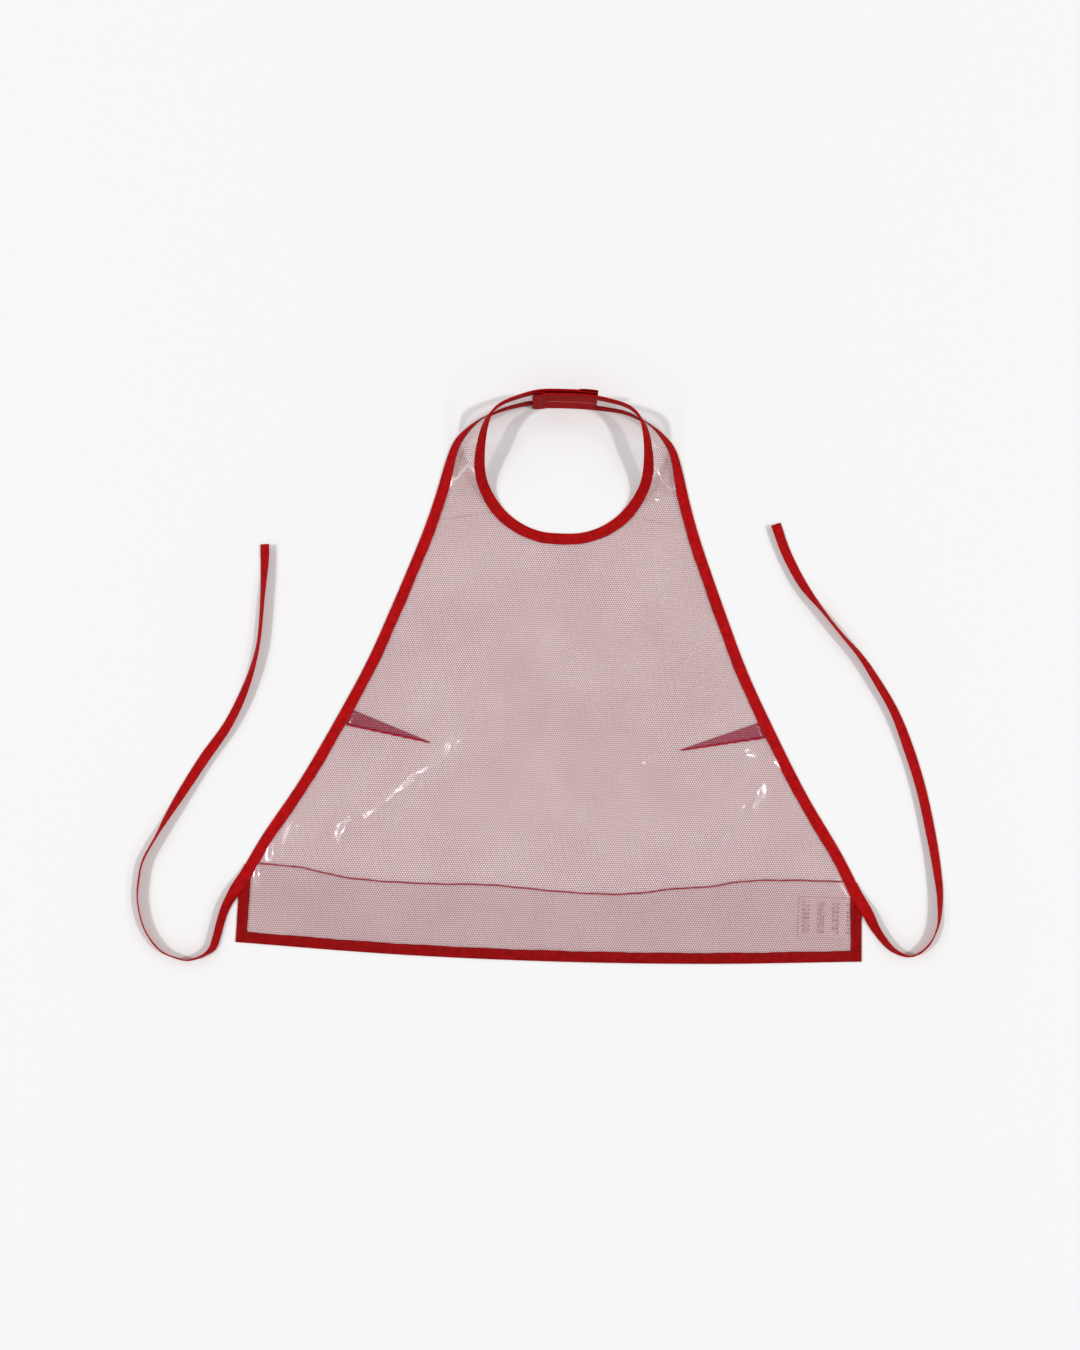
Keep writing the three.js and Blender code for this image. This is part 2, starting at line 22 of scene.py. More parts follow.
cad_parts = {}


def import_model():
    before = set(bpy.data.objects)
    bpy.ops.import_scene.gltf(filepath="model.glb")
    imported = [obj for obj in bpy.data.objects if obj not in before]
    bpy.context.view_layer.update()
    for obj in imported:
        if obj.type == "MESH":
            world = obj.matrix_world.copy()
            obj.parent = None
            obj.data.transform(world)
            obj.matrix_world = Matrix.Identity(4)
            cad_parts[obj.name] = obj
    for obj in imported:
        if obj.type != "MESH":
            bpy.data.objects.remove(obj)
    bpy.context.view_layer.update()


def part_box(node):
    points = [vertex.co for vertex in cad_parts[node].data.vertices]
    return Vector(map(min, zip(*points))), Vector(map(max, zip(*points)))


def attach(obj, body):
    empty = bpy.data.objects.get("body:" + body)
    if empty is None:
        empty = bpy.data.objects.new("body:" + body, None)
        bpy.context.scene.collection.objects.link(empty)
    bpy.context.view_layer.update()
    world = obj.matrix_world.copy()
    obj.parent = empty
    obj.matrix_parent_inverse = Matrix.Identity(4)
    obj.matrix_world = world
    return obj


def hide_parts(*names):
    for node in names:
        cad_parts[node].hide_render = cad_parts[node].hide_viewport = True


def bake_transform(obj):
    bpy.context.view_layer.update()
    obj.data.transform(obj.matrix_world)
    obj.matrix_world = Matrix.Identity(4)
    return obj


log = logging.getLogger("cape")

MM = 0.001
UV_CLOTH = "cloth"
SEED = 7

Array = np.ndarray


class Side(Enum):
    """The two sides of the cape, as seen from above with the hem nearest."""

    LEFT = -1
    RIGHT = 1

    @property
    def word(self) -> str:
        """The side's name in lower case."""
        return self.name.lower()


# ---- Curves and frames, in millimetres ----


def smooth(points: Sequence[Sequence[float]], steps: int) -> Array:
    """Runs a centripetal Catmull-Rom curve through the points.

    Args:
        points: The key points, two or more.
        steps: How many equal parameter steps the whole curve takes.

    Returns:
        steps + 1 points on the curve.
    """
    keys = np.asarray(points, float)
    first = 2 * keys[0] - keys[1]
    last = 2 * keys[-1] - keys[-2]
    padded = np.vstack([first, keys, last])
    spans = len(keys) - 1
    found = []
    for t in np.linspace(0, spans, steps + 1):
        k = min(int(t), spans - 1)
        w = t - k
        p0, p1, p2, p3 = padded[k : k + 4]
        d0, d1, d2 = (max(np.linalg.norm(b - a), 1e-6) ** 0.5 for a, b in ((p0, p1), (p1, p2), (p2, p3)))
        m1 = ((p1 - p0) / d0 - (p2 - p0) / (d0 + d1) + (p2 - p1) / d1) * d1
        m2 = ((p2 - p1) / d1 - (p3 - p1) / (d1 + d2) + (p3 - p2) / d2) * d1
        c2 = -3 * p1 + 3 * p2 - 2 * m1 - m2
        c3 = 2 * p1 - 2 * p2 + m1 + m2
        found.append(p1 + w * (m1 + w * (c2 + w * c3)))
    return np.array(found)


def run_lengths(points: Array) -> Array:
    """Distances along a run of points, from 0 at its start."""
    return np.concatenate([[0], np.cumsum(np.linalg.norm(np.diff(points, axis=0), axis=1))])


def resampled(points: Array, start: float, end: float, pitch: float) -> Array:
    """Cuts a run of points and spaces it evenly.

    Args:
        points: The run.
        start: Length left out at its start.
        end: Length left out at its end.
        pitch: The spacing wanted.

    Returns:
        Evenly spaced points.
    """
    runs = run_lengths(points)
    count = max(int(round((runs[-1] - start - end) / pitch)), 2)
    at = np.linspace(start, runs[-1] - end, count + 1)
    return np.column_stack([np.interp(at, runs, points[:, k]) for k in range(3)])


def relaxed(points: Array, reach: float) -> Array:
    """Eases the turns of a run and keeps its ends.

    Args:
        points: The run.
        reach: How far along the run each place is evened out.

    Returns:
        As many points, at the same shares of the run.
    """
    step = 0.5
    runs = run_lengths(points)
    even = resampled(points, 0, 0, step)
    spread = int(3 * reach / step)
    weights = np.exp(-0.5 * (np.arange(-spread, spread + 1) * step / reach) ** 2)
    weights /= weights.sum()
    head = 2 * even[0] - even[spread:0:-1]
    tail = 2 * even[-1] - even[-2 : -spread - 2 : -1]
    longer = np.vstack([head, even, tail])
    eased = np.column_stack([np.convolve(longer[:, k], weights, mode="valid") for k in range(3)])
    at = np.linspace(0, runs[-1], len(eased))
    return np.column_stack([np.interp(runs, at, eased[:, k]) for k in range(3)])


def unit(v: Array) -> Array:
    """Vectors at length 1."""
    return v / np.maximum(np.linalg.norm(v, axis=-1, keepdims=True), 1e-9)


def tangents(points: Array) -> Array:
    """Unit directions along a run of points."""
    return unit(np.gradient(points, axis=0))


@dataclass
class Frames:
    """Places along a run with the directions across and through it."""

    at: Array
    across: Array
    through: Array

    def joined(self, other: Frames) -> Frames:
        """These frames followed by the other ones."""
        return Frames(*(np.vstack([a, b]) for a, b in zip(self.parts(), other.parts())))

    def parts(self) -> tuple[Array, Array, Array]:
        """The three arrays in order."""
        return self.at, self.across, self.through

    def cut(self, first: int, last: int | None = None) -> Frames:
        """The frames from first up to last."""
        return Frames(*(p[first:last] for p in self.parts()))

    def turned(self) -> Frames:
        """The frames in the opposite order."""
        return Frames(*(p[::-1] for p in self.parts()))

    def runs(self) -> Array:
        """Distances along the places."""
        return run_lengths(self.at)

    def sampled(self, along: float) -> tuple[Array, Array, Array]:
        """The place, across and through at one distance along the run."""
        runs = self.runs()
        mixed = [np.array([np.interp(along, runs, p[:, k]) for k in range(3)]) for p in self.parts()]
        return mixed[0], mixed[1], unit(mixed[2])


def flat_frames(points: Array) -> Frames:
    """Frames along a flat outline whose inside is on its left, mitred at corners."""
    steps = np.diff(points, axis=0)
    steps[:, 2] = 0
    way = unit(steps)
    come = np.vstack([way[:1], way])
    go = np.vstack([way, way[-1:]])
    total = come + go
    across = unit(np.column_stack([-total[:, 1], total[:, 0], np.zeros(len(total))]))
    inward = np.column_stack([-come[:, 1], come[:, 0], np.zeros(len(total))])
    mitre = np.sum(across * inward, axis=1, keepdims=True)
    up = np.tile([0.0, 0.0, 1.0], (len(points), 1))
    return Frames(points.copy(), across / np.maximum(mitre, 0.3), up)


def edge_frames(edge: Array, other: Array, sign: int) -> Frames:
    """Frames along one edge of a band, with "across" along its rulings.

    Args:
        edge: The edge that the frames sit on.
        other: The band's other edge, point for point.
        sign: 1 or -1, for the face that "through" points out of.

    Returns:
        The frames.
    """
    along = tangents(edge)
    ruling = unit(other - edge)
    cross = np.cross(along, ruling)
    sine = np.linalg.norm(cross, axis=1, keepdims=True)
    return Frames(edge, ruling / sine, sign * unit(cross))


# ---- The cut of the cape ----


EASE = 7.0  # how far along an edge its turns are evened out, in millimetres
SHOULDER_STEPS = 105
BACK_STEPS = 98
UPRIGHT_PITCH = 3  # spacing of the points up the short edges by the hem's corners
SEAM_STEP = 60  # the body's pieces end at this step of the shoulder, and the neck band's begin there

Row = tuple[float, float, float, float, float]


@dataclass
class Cut:
    """Sizes of the cape in millimetres, and the curves that its pieces follow."""

    sheet: float = 0.5
    tape: float = 0.5
    clear: float = 0.3
    leaf: float = 11
    hem_half: float = 313
    hem_bow: float = 9.5
    length: float = 546
    corner: float = 68
    waist_half: float = 209
    waist_height: float = 256
    chest_half: float = 142
    chest_height: float = 416
    neck_half: float = 78.5
    neck_depth: float = 118
    band: float = 46
    back_rise: float = 7.8
    back_crown: float = 0.0011
    back_lean: float = 7
    patch_thick: float = 1.2
    patch_margin: float = 2
    patch_length: float = 30
    reach: dict[Side, float] = field(default_factory=lambda: {Side.LEFT: 31, Side.RIGHT: 33})
    tab: dict[Side, float] = field(default_factory=lambda: {Side.LEFT: 19, Side.RIGHT: 12})

    def __post_init__(self) -> None:
        """Works out the levels, and the shift that puts the hem where the frame has it."""
        self.bound = 2 * self.tape + 2 * self.clear + self.sheet
        self.mid = self.bound / 2
        self.slot = self.tape + self.clear
        self.pitch = self.sheet + 4 * self.clear + 2 * self.patch_thick
        self.patch_height = self.band - 2 * (self.leaf + self.patch_margin)
        self.hem_y = -self.length / 2
        self.cross_y = self.length / 2
        self.cross_half = self.neck_half - 8
        self.corner_y = self.hem_y + self.hem_bow
        self.corner_top = self.corner_y + self.corner
        self.chest_y = self.hem_y + self.chest_height
        self.waist_y = self.hem_y + self.waist_height
        self.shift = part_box("hem_binding")[0][1] / MM - self.hem_y

    def side_outline(self, side: Side) -> Array:
        """The outer edge from the corner's top up to the shoulder, eased together with the band."""
        rough = self.rough_side(side)
        whole = relaxed(np.vstack([rough, self.rough_band(side)[0][1:]]), EASE)
        return whole[: len(rough)]

    def rough_side(self, side: Side, steps: int = 160) -> Array:
        """The outer edge from the corner's top up to the shoulder, through its key points."""
        s = side.value
        slope = (self.chest_y - self.waist_y) / 160
        key = [
            (self.hem_half - 2, self.corner_top),
            (self.hem_half - 22, self.corner_top + 37),
            (self.hem_half - 60, self.corner_top + 97),
            (self.waist_half + 8, self.waist_y - 15),
            (self.waist_half - 18.5, self.waist_y + 38 * slope),
            (self.chest_half + 23, self.chest_y - 60 * slope),
            (self.chest_half, self.chest_y),
            (self.chest_half - 7, self.chest_y + 20),
        ]
        return smooth([(s * x, y, self.mid) for x, y in key], steps)

    def hem(self, steps: int = 200) -> Array:
        """The hem's edge from the left corner to the right one."""
        half, low = self.hem_half, self.hem_y
        bows = ((-1, 1), (-0.5, 0.25), (0, 0), (0.5, 0.25), (1, 1))
        return smooth([(share * half, low + self.hem_bow * bow, self.mid) for share, bow in bows], steps)

    def neck_run(self) -> tuple[Array, int, int]:
        """The eased neck edge from the left band's end to the right one's, and where its front lies."""
        left = self.rough_band(Side.LEFT)[1][::-1]
        front = self.rough_neckline()
        right = self.rough_band(Side.RIGHT)[1]
        whole = relaxed(np.vstack([left, front[1:], right[1:]]), EASE)
        return whole, len(left) - 1, len(left) + len(front) - 2

    def neckline(self) -> Array:
        """The front neckline between the shoulders, from left to right."""
        whole, first, last = self.neck_run()
        return whole[first : last + 1]

    def rough_neckline(self, steps: int = 80) -> Array:
        """The front neckline through its key points."""
        n, low = self.neck_half, self.cross_y - self.neck_depth
        key = [(n - 20.5, self.cross_y - 97), (n - 36, self.cross_y - 108.5), (n - 57, low + 1.2)]
        left = [(-x, y, self.mid) for x, y in key]
        right = [(x, y, self.mid) for x, y in reversed(key)]
        return smooth([*left, (0, low, self.mid), *right], steps)

    def lower_outline(self) -> tuple[Array, int, int]:
        """The outer edge from shoulder to shoulder round the hem, and where its corners' tops are."""
        left = self.side_outline(Side.LEFT)[::-1]
        right = self.side_outline(Side.RIGHT)
        hem = self.hem()
        ends = ((left[-1], hem[0]), (hem[-1], right[0]))
        uprights = [resampled(np.array(pair), 0, 0, UPRIGHT_PITCH) for pair in ends]
        below = [uprights[0][1:], hem[1:], uprights[1][1:]]
        first = len(left) - 1
        return np.vstack([left, *below, right[1:]]), first, first + sum(map(len, below))

    def shoulder_rows(self) -> list[Row]:
        """Paired points of the band's outer and neck edges, from the shoulder to the crossing."""
        c, n, w, y = self.cross_half, self.neck_half, self.chest_half, self.cross_y
        return [
            (w - 7, self.chest_y + 20, n - 20.5, y - 97, 0),
            (w - 13.2, self.chest_y + 40, n - 9.5, y - 82, 4),
            (w - 18.7, self.chest_y + 60, n - 1.7, y - 66, 14),
            (w - 24, y - 50, n, y - 49, 25),
            (w - 32, y - 28, n - 0.5, y - 34, 35),
            (c + 29.5, y - 17.5, n - 2, y - 20, 39),
            (c + 18.5, y - 9, n - 4.5, y - 9.5, 42.5),
            (c, y, c, y, self.band),
        ]

    def back_rows(self, side: Side) -> list[Row]:
        """Paired points of the two edges behind the crossing. The left band is the outer layer."""
        c = self.cross_half
        lift = self.pitch if side is Side.LEFT else 0
        rows = [(c, self.cross_y, c, self.cross_y, self.band)]
        places = [(c - 12.5, 0.05, 3), (c - 27, 0.55, 5), (c - 42, 0.97, self.back_lean)]
        places += [(x, 1, self.back_lean) for x in (14, 0, -14, -self.reach[side])]
        for x, share, lean in places:
            y = self.cross_y + self.back_rise - self.back_crown * x * x + share * lift
            rows.append((x, y, x, y + lean, self.band - 0.5))
        return rows

    def edges(self, rows: list[Row], side: Side, steps: int) -> tuple[Array, Array]:
        """The outer and the neck edge as smooth runs with paired points."""
        outer, neck = [], []
        for ox, oy, nx, ny, z in rows:
            level = math.hypot(ox - nx, oy - ny)
            low = self.mid * level / math.hypot(level, z)
            outer.append((side.value * ox, oy, low))
            neck.append((side.value * nx, ny, max(z, low)))
        return smooth(outer, steps), smooth(neck, steps)

    def band_edges(self, side: Side) -> tuple[Array, Array]:
        """Both edges from the shoulder to the band's end, eased with the runs that they go on from."""
        rough = self.rough_side(side)
        outer = relaxed(np.vstack([rough, self.rough_band(side)[0][1:]]), EASE)[len(rough) - 1 :]
        whole, first, last = self.neck_run()
        neck = whole[last:] if side is Side.RIGHT else whole[: first + 1][::-1]
        return outer, neck

    def rough_band(self, side: Side) -> tuple[Array, Array]:
        """Both edges through their key points, with about a millimetre and a half between points."""
        front = self.edges(self.shoulder_rows(), side, SHOULDER_STEPS)
        back = self.edges(self.back_rows(side), side, BACK_STEPS)
        return np.vstack([front[0], back[0][1:]]), np.vstack([front[1], back[1][1:]])


# ---- Meshes ----


STITCH_INSET = 1.8
STITCH_PITCH = 3.3
STITCH_LONG = 2.5
STITCH_SINK = 0.08
THREAD_RADIUS = 0.22
GAP_BATCH = 2000  # how many places are measured at a time


def placed(points: Array, cut: Cut) -> Array:
    """Points in metres, in the frame of the part."""
    return (np.asarray(points) + (0, cut.shift, 0)) * MM


def make_object(name: str, verts: Array, faces: Iterable[Sequence[int]],
                uvs: Array | None = None) -> bpy.types.Object:
    """Makes a mesh object at the origin, shaded smooth.

    Args:
        name: The piece's name.
        verts: Corner points in metres.
        faces: Corner numbers of each face.
        uvs: One cloth coordinate per corner point, in metres, or None.

    Returns:
        The new object.
    """
    mesh = bpy.data.meshes.new(name)
    mesh.from_pydata([tuple(v) for v in verts], [], [tuple(int(i) for i in f) for f in faces])
    mesh.validate()
    if uvs is not None:
        layer = mesh.uv_layers.new(name=UV_CLOTH)
        index = np.empty(len(mesh.loops), int)
        mesh.loops.foreach_get("vertex_index", index)
        layer.data.foreach_set("uv", np.asarray(uvs, float)[index].astype(np.float32).ravel())
    obj = bpy.data.objects.new(name, mesh)
    bpy.context.scene.collection.objects.link(obj)
    mesh.polygons.foreach_set("use_smooth", [True] * len(mesh.polygons))
    return obj


def only(obj: bpy.types.Object) -> None:
    """Deselects everything, then selects and activates one object."""
    bpy.ops.object.select_all(action="DESELECT")
    obj.select_set(True)
    bpy.context.view_layer.objects.active = obj


def faces_out(obj: bpy.types.Object) -> None:
    """Turns every face of a closed piece outwards."""
    mesh = bmesh.new()
    mesh.from_mesh(obj.data)
    bmesh.ops.recalc_face_normals(mesh, faces=mesh.faces)
    mesh.to_mesh(obj.data)
    mesh.free()


def faces_up(obj: bpy.types.Object) -> None:
    """Turns an open flat piece over if it faces down."""
    if sum(p.normal.z for p in obj.data.polygons) < 0:
        obj.data.flip_normals()


def thicken(obj: bpy.types.Object, thick: float, clear_back: bool = False) -> None:
    """Gives an open sheet its thickness about its middle.

    Args:
        obj: The sheet.
        thick: Its thickness in metres.
        clear_back: True if the under side and rim take the second material.
    """
    only(obj)
    wall = obj.modifiers.new("wall", "SOLIDIFY")
    wall.thickness = thick
    wall.offset = 0
    wall.use_even_offset = False
    if clear_back:
        wall.material_offset = 1
        wall.material_offset_rim = 1
    bpy.ops.object.modifier_apply(modifier=wall.name)


Shape = Callable[[float], Sequence[tuple[float, float]]]


def swept(name: str, frames: Frames, shape: Shape, cut: Cut) -> bpy.types.Object:
    """Sweeps a closed section, which may change along the run, and closes both ends.

    The section's first half is one face and its second half is the other face, in the opposite order.

    Args:
        name: The piece's name.
        frames: Where the section goes.
        shape: Gives the section's (across, through) points at a distance along the run.
        cut: The cape's cut, for its place.

    Returns:
        The new object, with cloth coordinates along and round the section.
    """
    runs = frames.runs()
    count = len(shape(0))
    verts, uvs = [], []
    for at, across, through, run in zip(*frames.parts(), runs):
        section = np.array(shape(run))
        ring = at + section[:, :1] * across + section[:, 1:] * through
        verts.extend(ring)
        round_it = run_lengths(np.column_stack([section, np.zeros(count)]))
        uvs.extend([(run * MM, r * MM) for r in round_it])
    faces = []
    for ring in range(len(runs) - 1):
        for k in range(count):
            a, b = ring * count + k, ring * count + (k + 1) % count
            faces.append((a, b, b + count, a + count))
    half = count // 2
    last = (len(runs) - 1) * count
    for k in range(half - 1):
        ends = (k, k + 1, count - 2 - k, count - 1 - k)
        faces.append(ends[::-1])
        faces.append(tuple(last + i for i in ends))
    obj = make_object(name, placed(verts, cut), faces, np.array(uvs))
    faces_out(obj)
    return obj


def folded_tape(width: float, cut: Cut, extra: float = 0.0) -> Shape:
    """The section of a tape folded over an edge, with a round nose and a dip at the stitches.

    Args:
        width: From the fold to the leaves' edges.
        cut: The cape's cut.
        extra: How much further out each leaf lies than on a plain edge.

    Returns:
        The section as a function of the distance along the run.
    """
    out = cut.bound / 2 + extra
    row = width - STITCH_INSET

    def shape(run: float) -> list[tuple[float, float]]:
        pucker = 0.09 * math.cos(2 * math.pi * run / STITCH_PITCH)
        drift = 0.16 * math.sin(run / 17.3) + 0.1 * math.sin(run / 7.1 + 1)
        edge = width + 0.22 * math.sin(run / 9.7) + 0.12 * math.sin(run / 3.1)
        top = [
            (edge, out - 0.12),
            (edge - 0.5, out + 0.02),
            (row + 0.5, out - 0.05),
            (row, out - 0.2 - pucker),
            (row - 0.6, out - 0.03),
            (row - 2.2, out + 0.16 + drift * 0.5),
            (row * 0.5, out + 0.2 + drift),
            (1.6, out + 0.05 + drift * 0.4),
            (0.55, out * 0.8),
            (0.12, out * 0.42),
        ]
        outer = [*top, (0.0, 0.0), *((a, -min(b, out)) for a, b in reversed(top))]
        inner = [
            (a + cut.tape * max(0.0, 1 - abs(b) / out), math.copysign(max(abs(b) - cut.tape, 0.0), b))
            for a, b in outer
        ]
        return [*outer, *reversed(inner)]

    return shape


def stitch_row(name: str, frames: Frames, across: float, height: float, cut: Cut,
               below: bool = True) -> bpy.types.Object:
    """A row of lock stitches as small round-ended pieces of thread.

    Args:
        name: The piece's name.
        frames: The run that the row follows.
        across: The row's distance from the run.
        height: How far the thread's middle lies out of the sheet's middle.
        cut: The cape's cut.
        below: True if the row shows on the under side too.

    Returns:
        One object with every stitch of the row.
    """
    rng = random.Random(SEED)
    total = frames.runs()[-1]
    count = int(total / STITCH_PITCH)
    verts, faces = [], []
    sides, profile = 5, ((-0.5, 0.0), (-0.42, 0.75), (0.0, 1.0), (0.42, 0.75), (0.5, 0.0))
    for face in (1, -1) if below else (1,):
        for k in range(count):
            middle = (k + 0.5 + (0.5 if face < 0 else 0)) * STITCH_PITCH
            if middle + STITCH_LONG / 2 > total:
                continue
            at, side, through = frames.sampled(middle)
            ahead = frames.sampled(min(middle + 0.5, total))[0]
            along = unit(ahead - at)
            slant = rng.uniform(-0.05, 0.05)
            base = at + side * across + face * through * height
            first = len(verts)
            for place, swell in profile:
                centre = base + along * place * STITCH_LONG + side * slant * place * STITCH_LONG
                centre = centre + face * through * (0.12 * (swell - 1))
                ring = max(swell, 0.15) * THREAD_RADIUS
                for j in range(sides):
                    turn = 2 * math.pi * j / sides
                    verts.append(centre + ring * (math.cos(turn) * unit(side) + math.sin(turn) * through))
            for r in range(len(profile) - 1):
                for j in range(sides):
                    a, b = first + r * sides + j, first + r * sides + (j + 1) % sides
                    faces.append((a, b, b + sides, a + sides))
            tail = first + (len(profile) - 1) * sides
            faces.append(tuple(range(first + sides - 1, first - 1, -1)))
            faces.append(tuple(range(tail, tail + sides)))
    obj = make_object(name, placed(verts, cut), faces)
    faces_out(obj)
    return obj


def edge_stitches(name: str, frames: Frames, cut: Cut) -> bpy.types.Object:
    """The row of stitches that holds a folded tape, sunk a little into both leaves."""
    return stitch_row(f"{name}_stitches", frames, cut.leaf - STITCH_INSET, cut.bound / 2 - STITCH_SINK, cut)


def thread(name: str, path: Array, radius: float, cut: Cut, sides: int = 6) -> bpy.types.Object:
    """One continuous thread along a path.

    Args:
        name: The piece's name.
        path: The points it follows, in millimetres.
        radius: Its radius in millimetres.
        cut: The cape's cut.
        sides: How many sides it has.

    Returns:
        The new object.
    """
    along = tangents(path)
    side = unit(np.cross(along, (0, 0, 1)))
    up = np.cross(side, along)
    turns = [2 * math.pi * k / sides for k in range(sides)]
    ring = [(radius * math.cos(turn), radius * math.sin(turn)) for turn in turns]
    return swept(name, Frames(path, side, up), lambda _run: ring, cut)


def gaps_to(rim: Array, plan: Array) -> Array:
    """Distances from plan places to the nearest point of a rim."""
    found = np.empty(len(plan))
    for k in range(0, len(plan), GAP_BATCH):
        part = plan[k : k + GAP_BATCH]
        found[k : k + GAP_BATCH] = np.sqrt(((part[:, None] - rim[None]) ** 2).sum(2)).min(1)
    return found


# ---- The lie of the sheet ----


@dataclass(frozen=True)
class Fold:
    """A soft fold in the sheet, with its places, height, width and sideways wobble in millimetres."""

    places: tuple[tuple[float, float], ...]
    height: float
    width: float
    wobble: float = 0.0


FOLDS = (
    # where the left front was creased along the body
    Fold(((-92, -54), (-101, -68), (-108, -86), (-130, -101), (-147, -117)), 3.0, 9.0, 0.3),
    Fold(
        ((-130, -101), (-147, -117), (-162, -129), (-172, -139), (-196, -155), (-214, -168)),
        3.7, 11.0, 0.4,
    ),
    Fold(((-188, -146), (-203, -150), (-210, -163), (-206, -176)), 2.7, 8.0, 0.3),
    # the fan of folds on the right front
    Fold(((84, -86), (99, -79), (114, -71), (132, -62)), 3.0, 9.0, 0.3),
    Fold(((112, -77), (130, -71), (154, -68), (180, -68), (206, -75)), 3.3, 10.0, 0.4),
    Fold(((207, -88), (203, -104), (195, -120), (181, -139), (160, -155), (136, -165)), 3.7, 11.0, 0.4),
    Fold(((214, -71), (226, -77), (240, -81)), 3.2, 10.0, 0.2),
    Fold(((120, -96), (150, -104), (168, -120)), 1.4, 13.0, 0.3),
    # short creases by the left hem
    Fold(((-283, -158), (-280, -170), (-277, -184), (-275, -198)), 2.6, 8.0, 0.2),
    Fold(((-255, -146), (-260, -160), (-267, -178), (-272, -193)), 2.6, 8.0, 0.2),
    Fold(((-297, -182), (-293, -196), (-290, -209), (-288, -222)), 2.4, 7.5, 0.2),
    # creases and dents on the shoulders
    Fold(((-112, 217), (-103, 225), (-88, 235)), 2.7, 8.0, 0.2),
    Fold(((84, 210), (98, 201), (112, 189)), 3.1, 10.0, 0.2),
    Fold(((88, 237), (97, 229), (106, 219)), 2.3, 7.0, 0.2),
    Fold(((-88, 196), (-80, 184), (-72, 172)), -1.8, 10.0, 0.2),
    Fold(((95, 177), (102, 188), (110, 200)), -1.8, 11.0, 0.2),
    # long shallow fold lines left from packing
    Fold(((-236, -190), (-150, -52), (-60, 62), (-12, 130)), 0.8, 10.0),
    Fold(((236, -190), (150, -52), (70, 60), (22, 128)), 0.7, 11.0),
    Fold(((-190, -18), (-70, -6), (60, -2), (178, -14)), 0.6, 10.0),
    Fold(((-222, -124), (-80, -136), (70, -130), (236, -116)), 0.6, 11.0),
    Fold(((2, 136), (-4, 20), (3, -110), (-2, -190)), 0.7, 10.0),
)


def eased(share: Array) -> Array:
    """A share held to 0 to 1, with soft ends."""
    held = np.clip(share, 0, 1)
    return held * held * (3 - 2 * held)


class Lie:
    """How the sheet's middle rises and falls over the surface that it lies on."""

    SWELLS = 26
    LONGEST = 110
    FLAT_RIM = 8  # the sheet stays flat this near a bound edge
    FADE = 11

    def __init__(self, cut: Cut, folds: Sequence[Fold]) -> None:
        """Takes the folds and a few long swells.

        Args:
            cut: The cape's cut.
            folds: The folds in it, in the frame of the part.
        """
        rng = random.Random(SEED)
        self.runs = []
        for fold in folds:
            keys = [(x, y - cut.shift, 0) for x, y in fold.places]
            run = smooth(keys, 14 * (len(keys) - 1))
            along = run_lengths(run)
            aside = fold.wobble * (np.sin(along / 6.1 + rng.uniform(0, 6)) + 0.7 * np.sin(along / 2.9))
            way = tangents(run)
            run = run + aside[:, None] * np.column_stack([-way[:, 1], way[:, 0], way[:, 2] * 0])
            self.runs.append((fold, run, along))
        self.swells = []
        for _ in range(self.SWELLS):
            turn = rng.uniform(0, math.pi)
            size = rng.uniform(24, self.LONGEST)
            phase = rng.uniform(0, 6.3)
            self.swells.append((math.cos(turn) / size, math.sin(turn) / size, phase, size / self.LONGEST))
        rim = np.vstack([cut.lower_outline()[0], cut.neckline()])
        for side in Side:
            outer, neck = cut.band_edges(side)
            rim = np.vstack([rim, outer, neck])
        self.rim = rim[::2, :2]

    def rise(self, plan: Array) -> Array:
        """How far the sheet stands over its bound level at some plan places, in millimetres."""
        plan = np.asarray(plan, float)[:, :2]
        total = np.zeros(len(plan))
        swell = np.zeros(len(plan))
        for a, b, phase, share in self.swells:
            swell += share * np.sin(6.283 * (a * plan[:, 0] + b * plan[:, 1]) + phase)
        total += 0.42 + 0.2 * swell
        for fold, run, along in self.runs:
            reach = 3 * fold.width
            low, high = run[:, :2].min(0) - reach, run[:, :2].max(0) + reach
            near = np.all((plan > low) & (plan < high), axis=1)
            if not near.any():
                continue
            gaps = np.linalg.norm(plan[near][:, None] - run[None, :, :2], axis=2)
            nearest = gaps.argmin(1)
            share = along[nearest] / along[-1]
            taper = np.minimum(share, 1 - share) * 5
            beat = 0.9 + 0.1 * np.sin(along[nearest] / 9.7)
            ridge = np.exp(-((gaps.min(1) / (fold.width * 0.62)) ** 2))
            total[near] += fold.height * beat * eased(taper) * ridge
        return total * eased((gaps_to(self.rim, plan) - self.FLAT_RIM) / self.FADE)


def inside(plan: Array, outline: Array) -> Array:
    """True for each plan place that lies in the closed outline."""
    x, y = plan[:, 0], plan[:, 1]
    found = np.zeros(len(plan), bool)
    for (ax, ay), (bx, by) in zip(outline[:, :2], np.roll(outline[:, :2], -1, axis=0)):
        crosses = (ay > y) != (by > y)
        if by != ay:
            found ^= crosses & (x < (bx - ax) * (y - ay) / (by - ay) + ax)
    return found


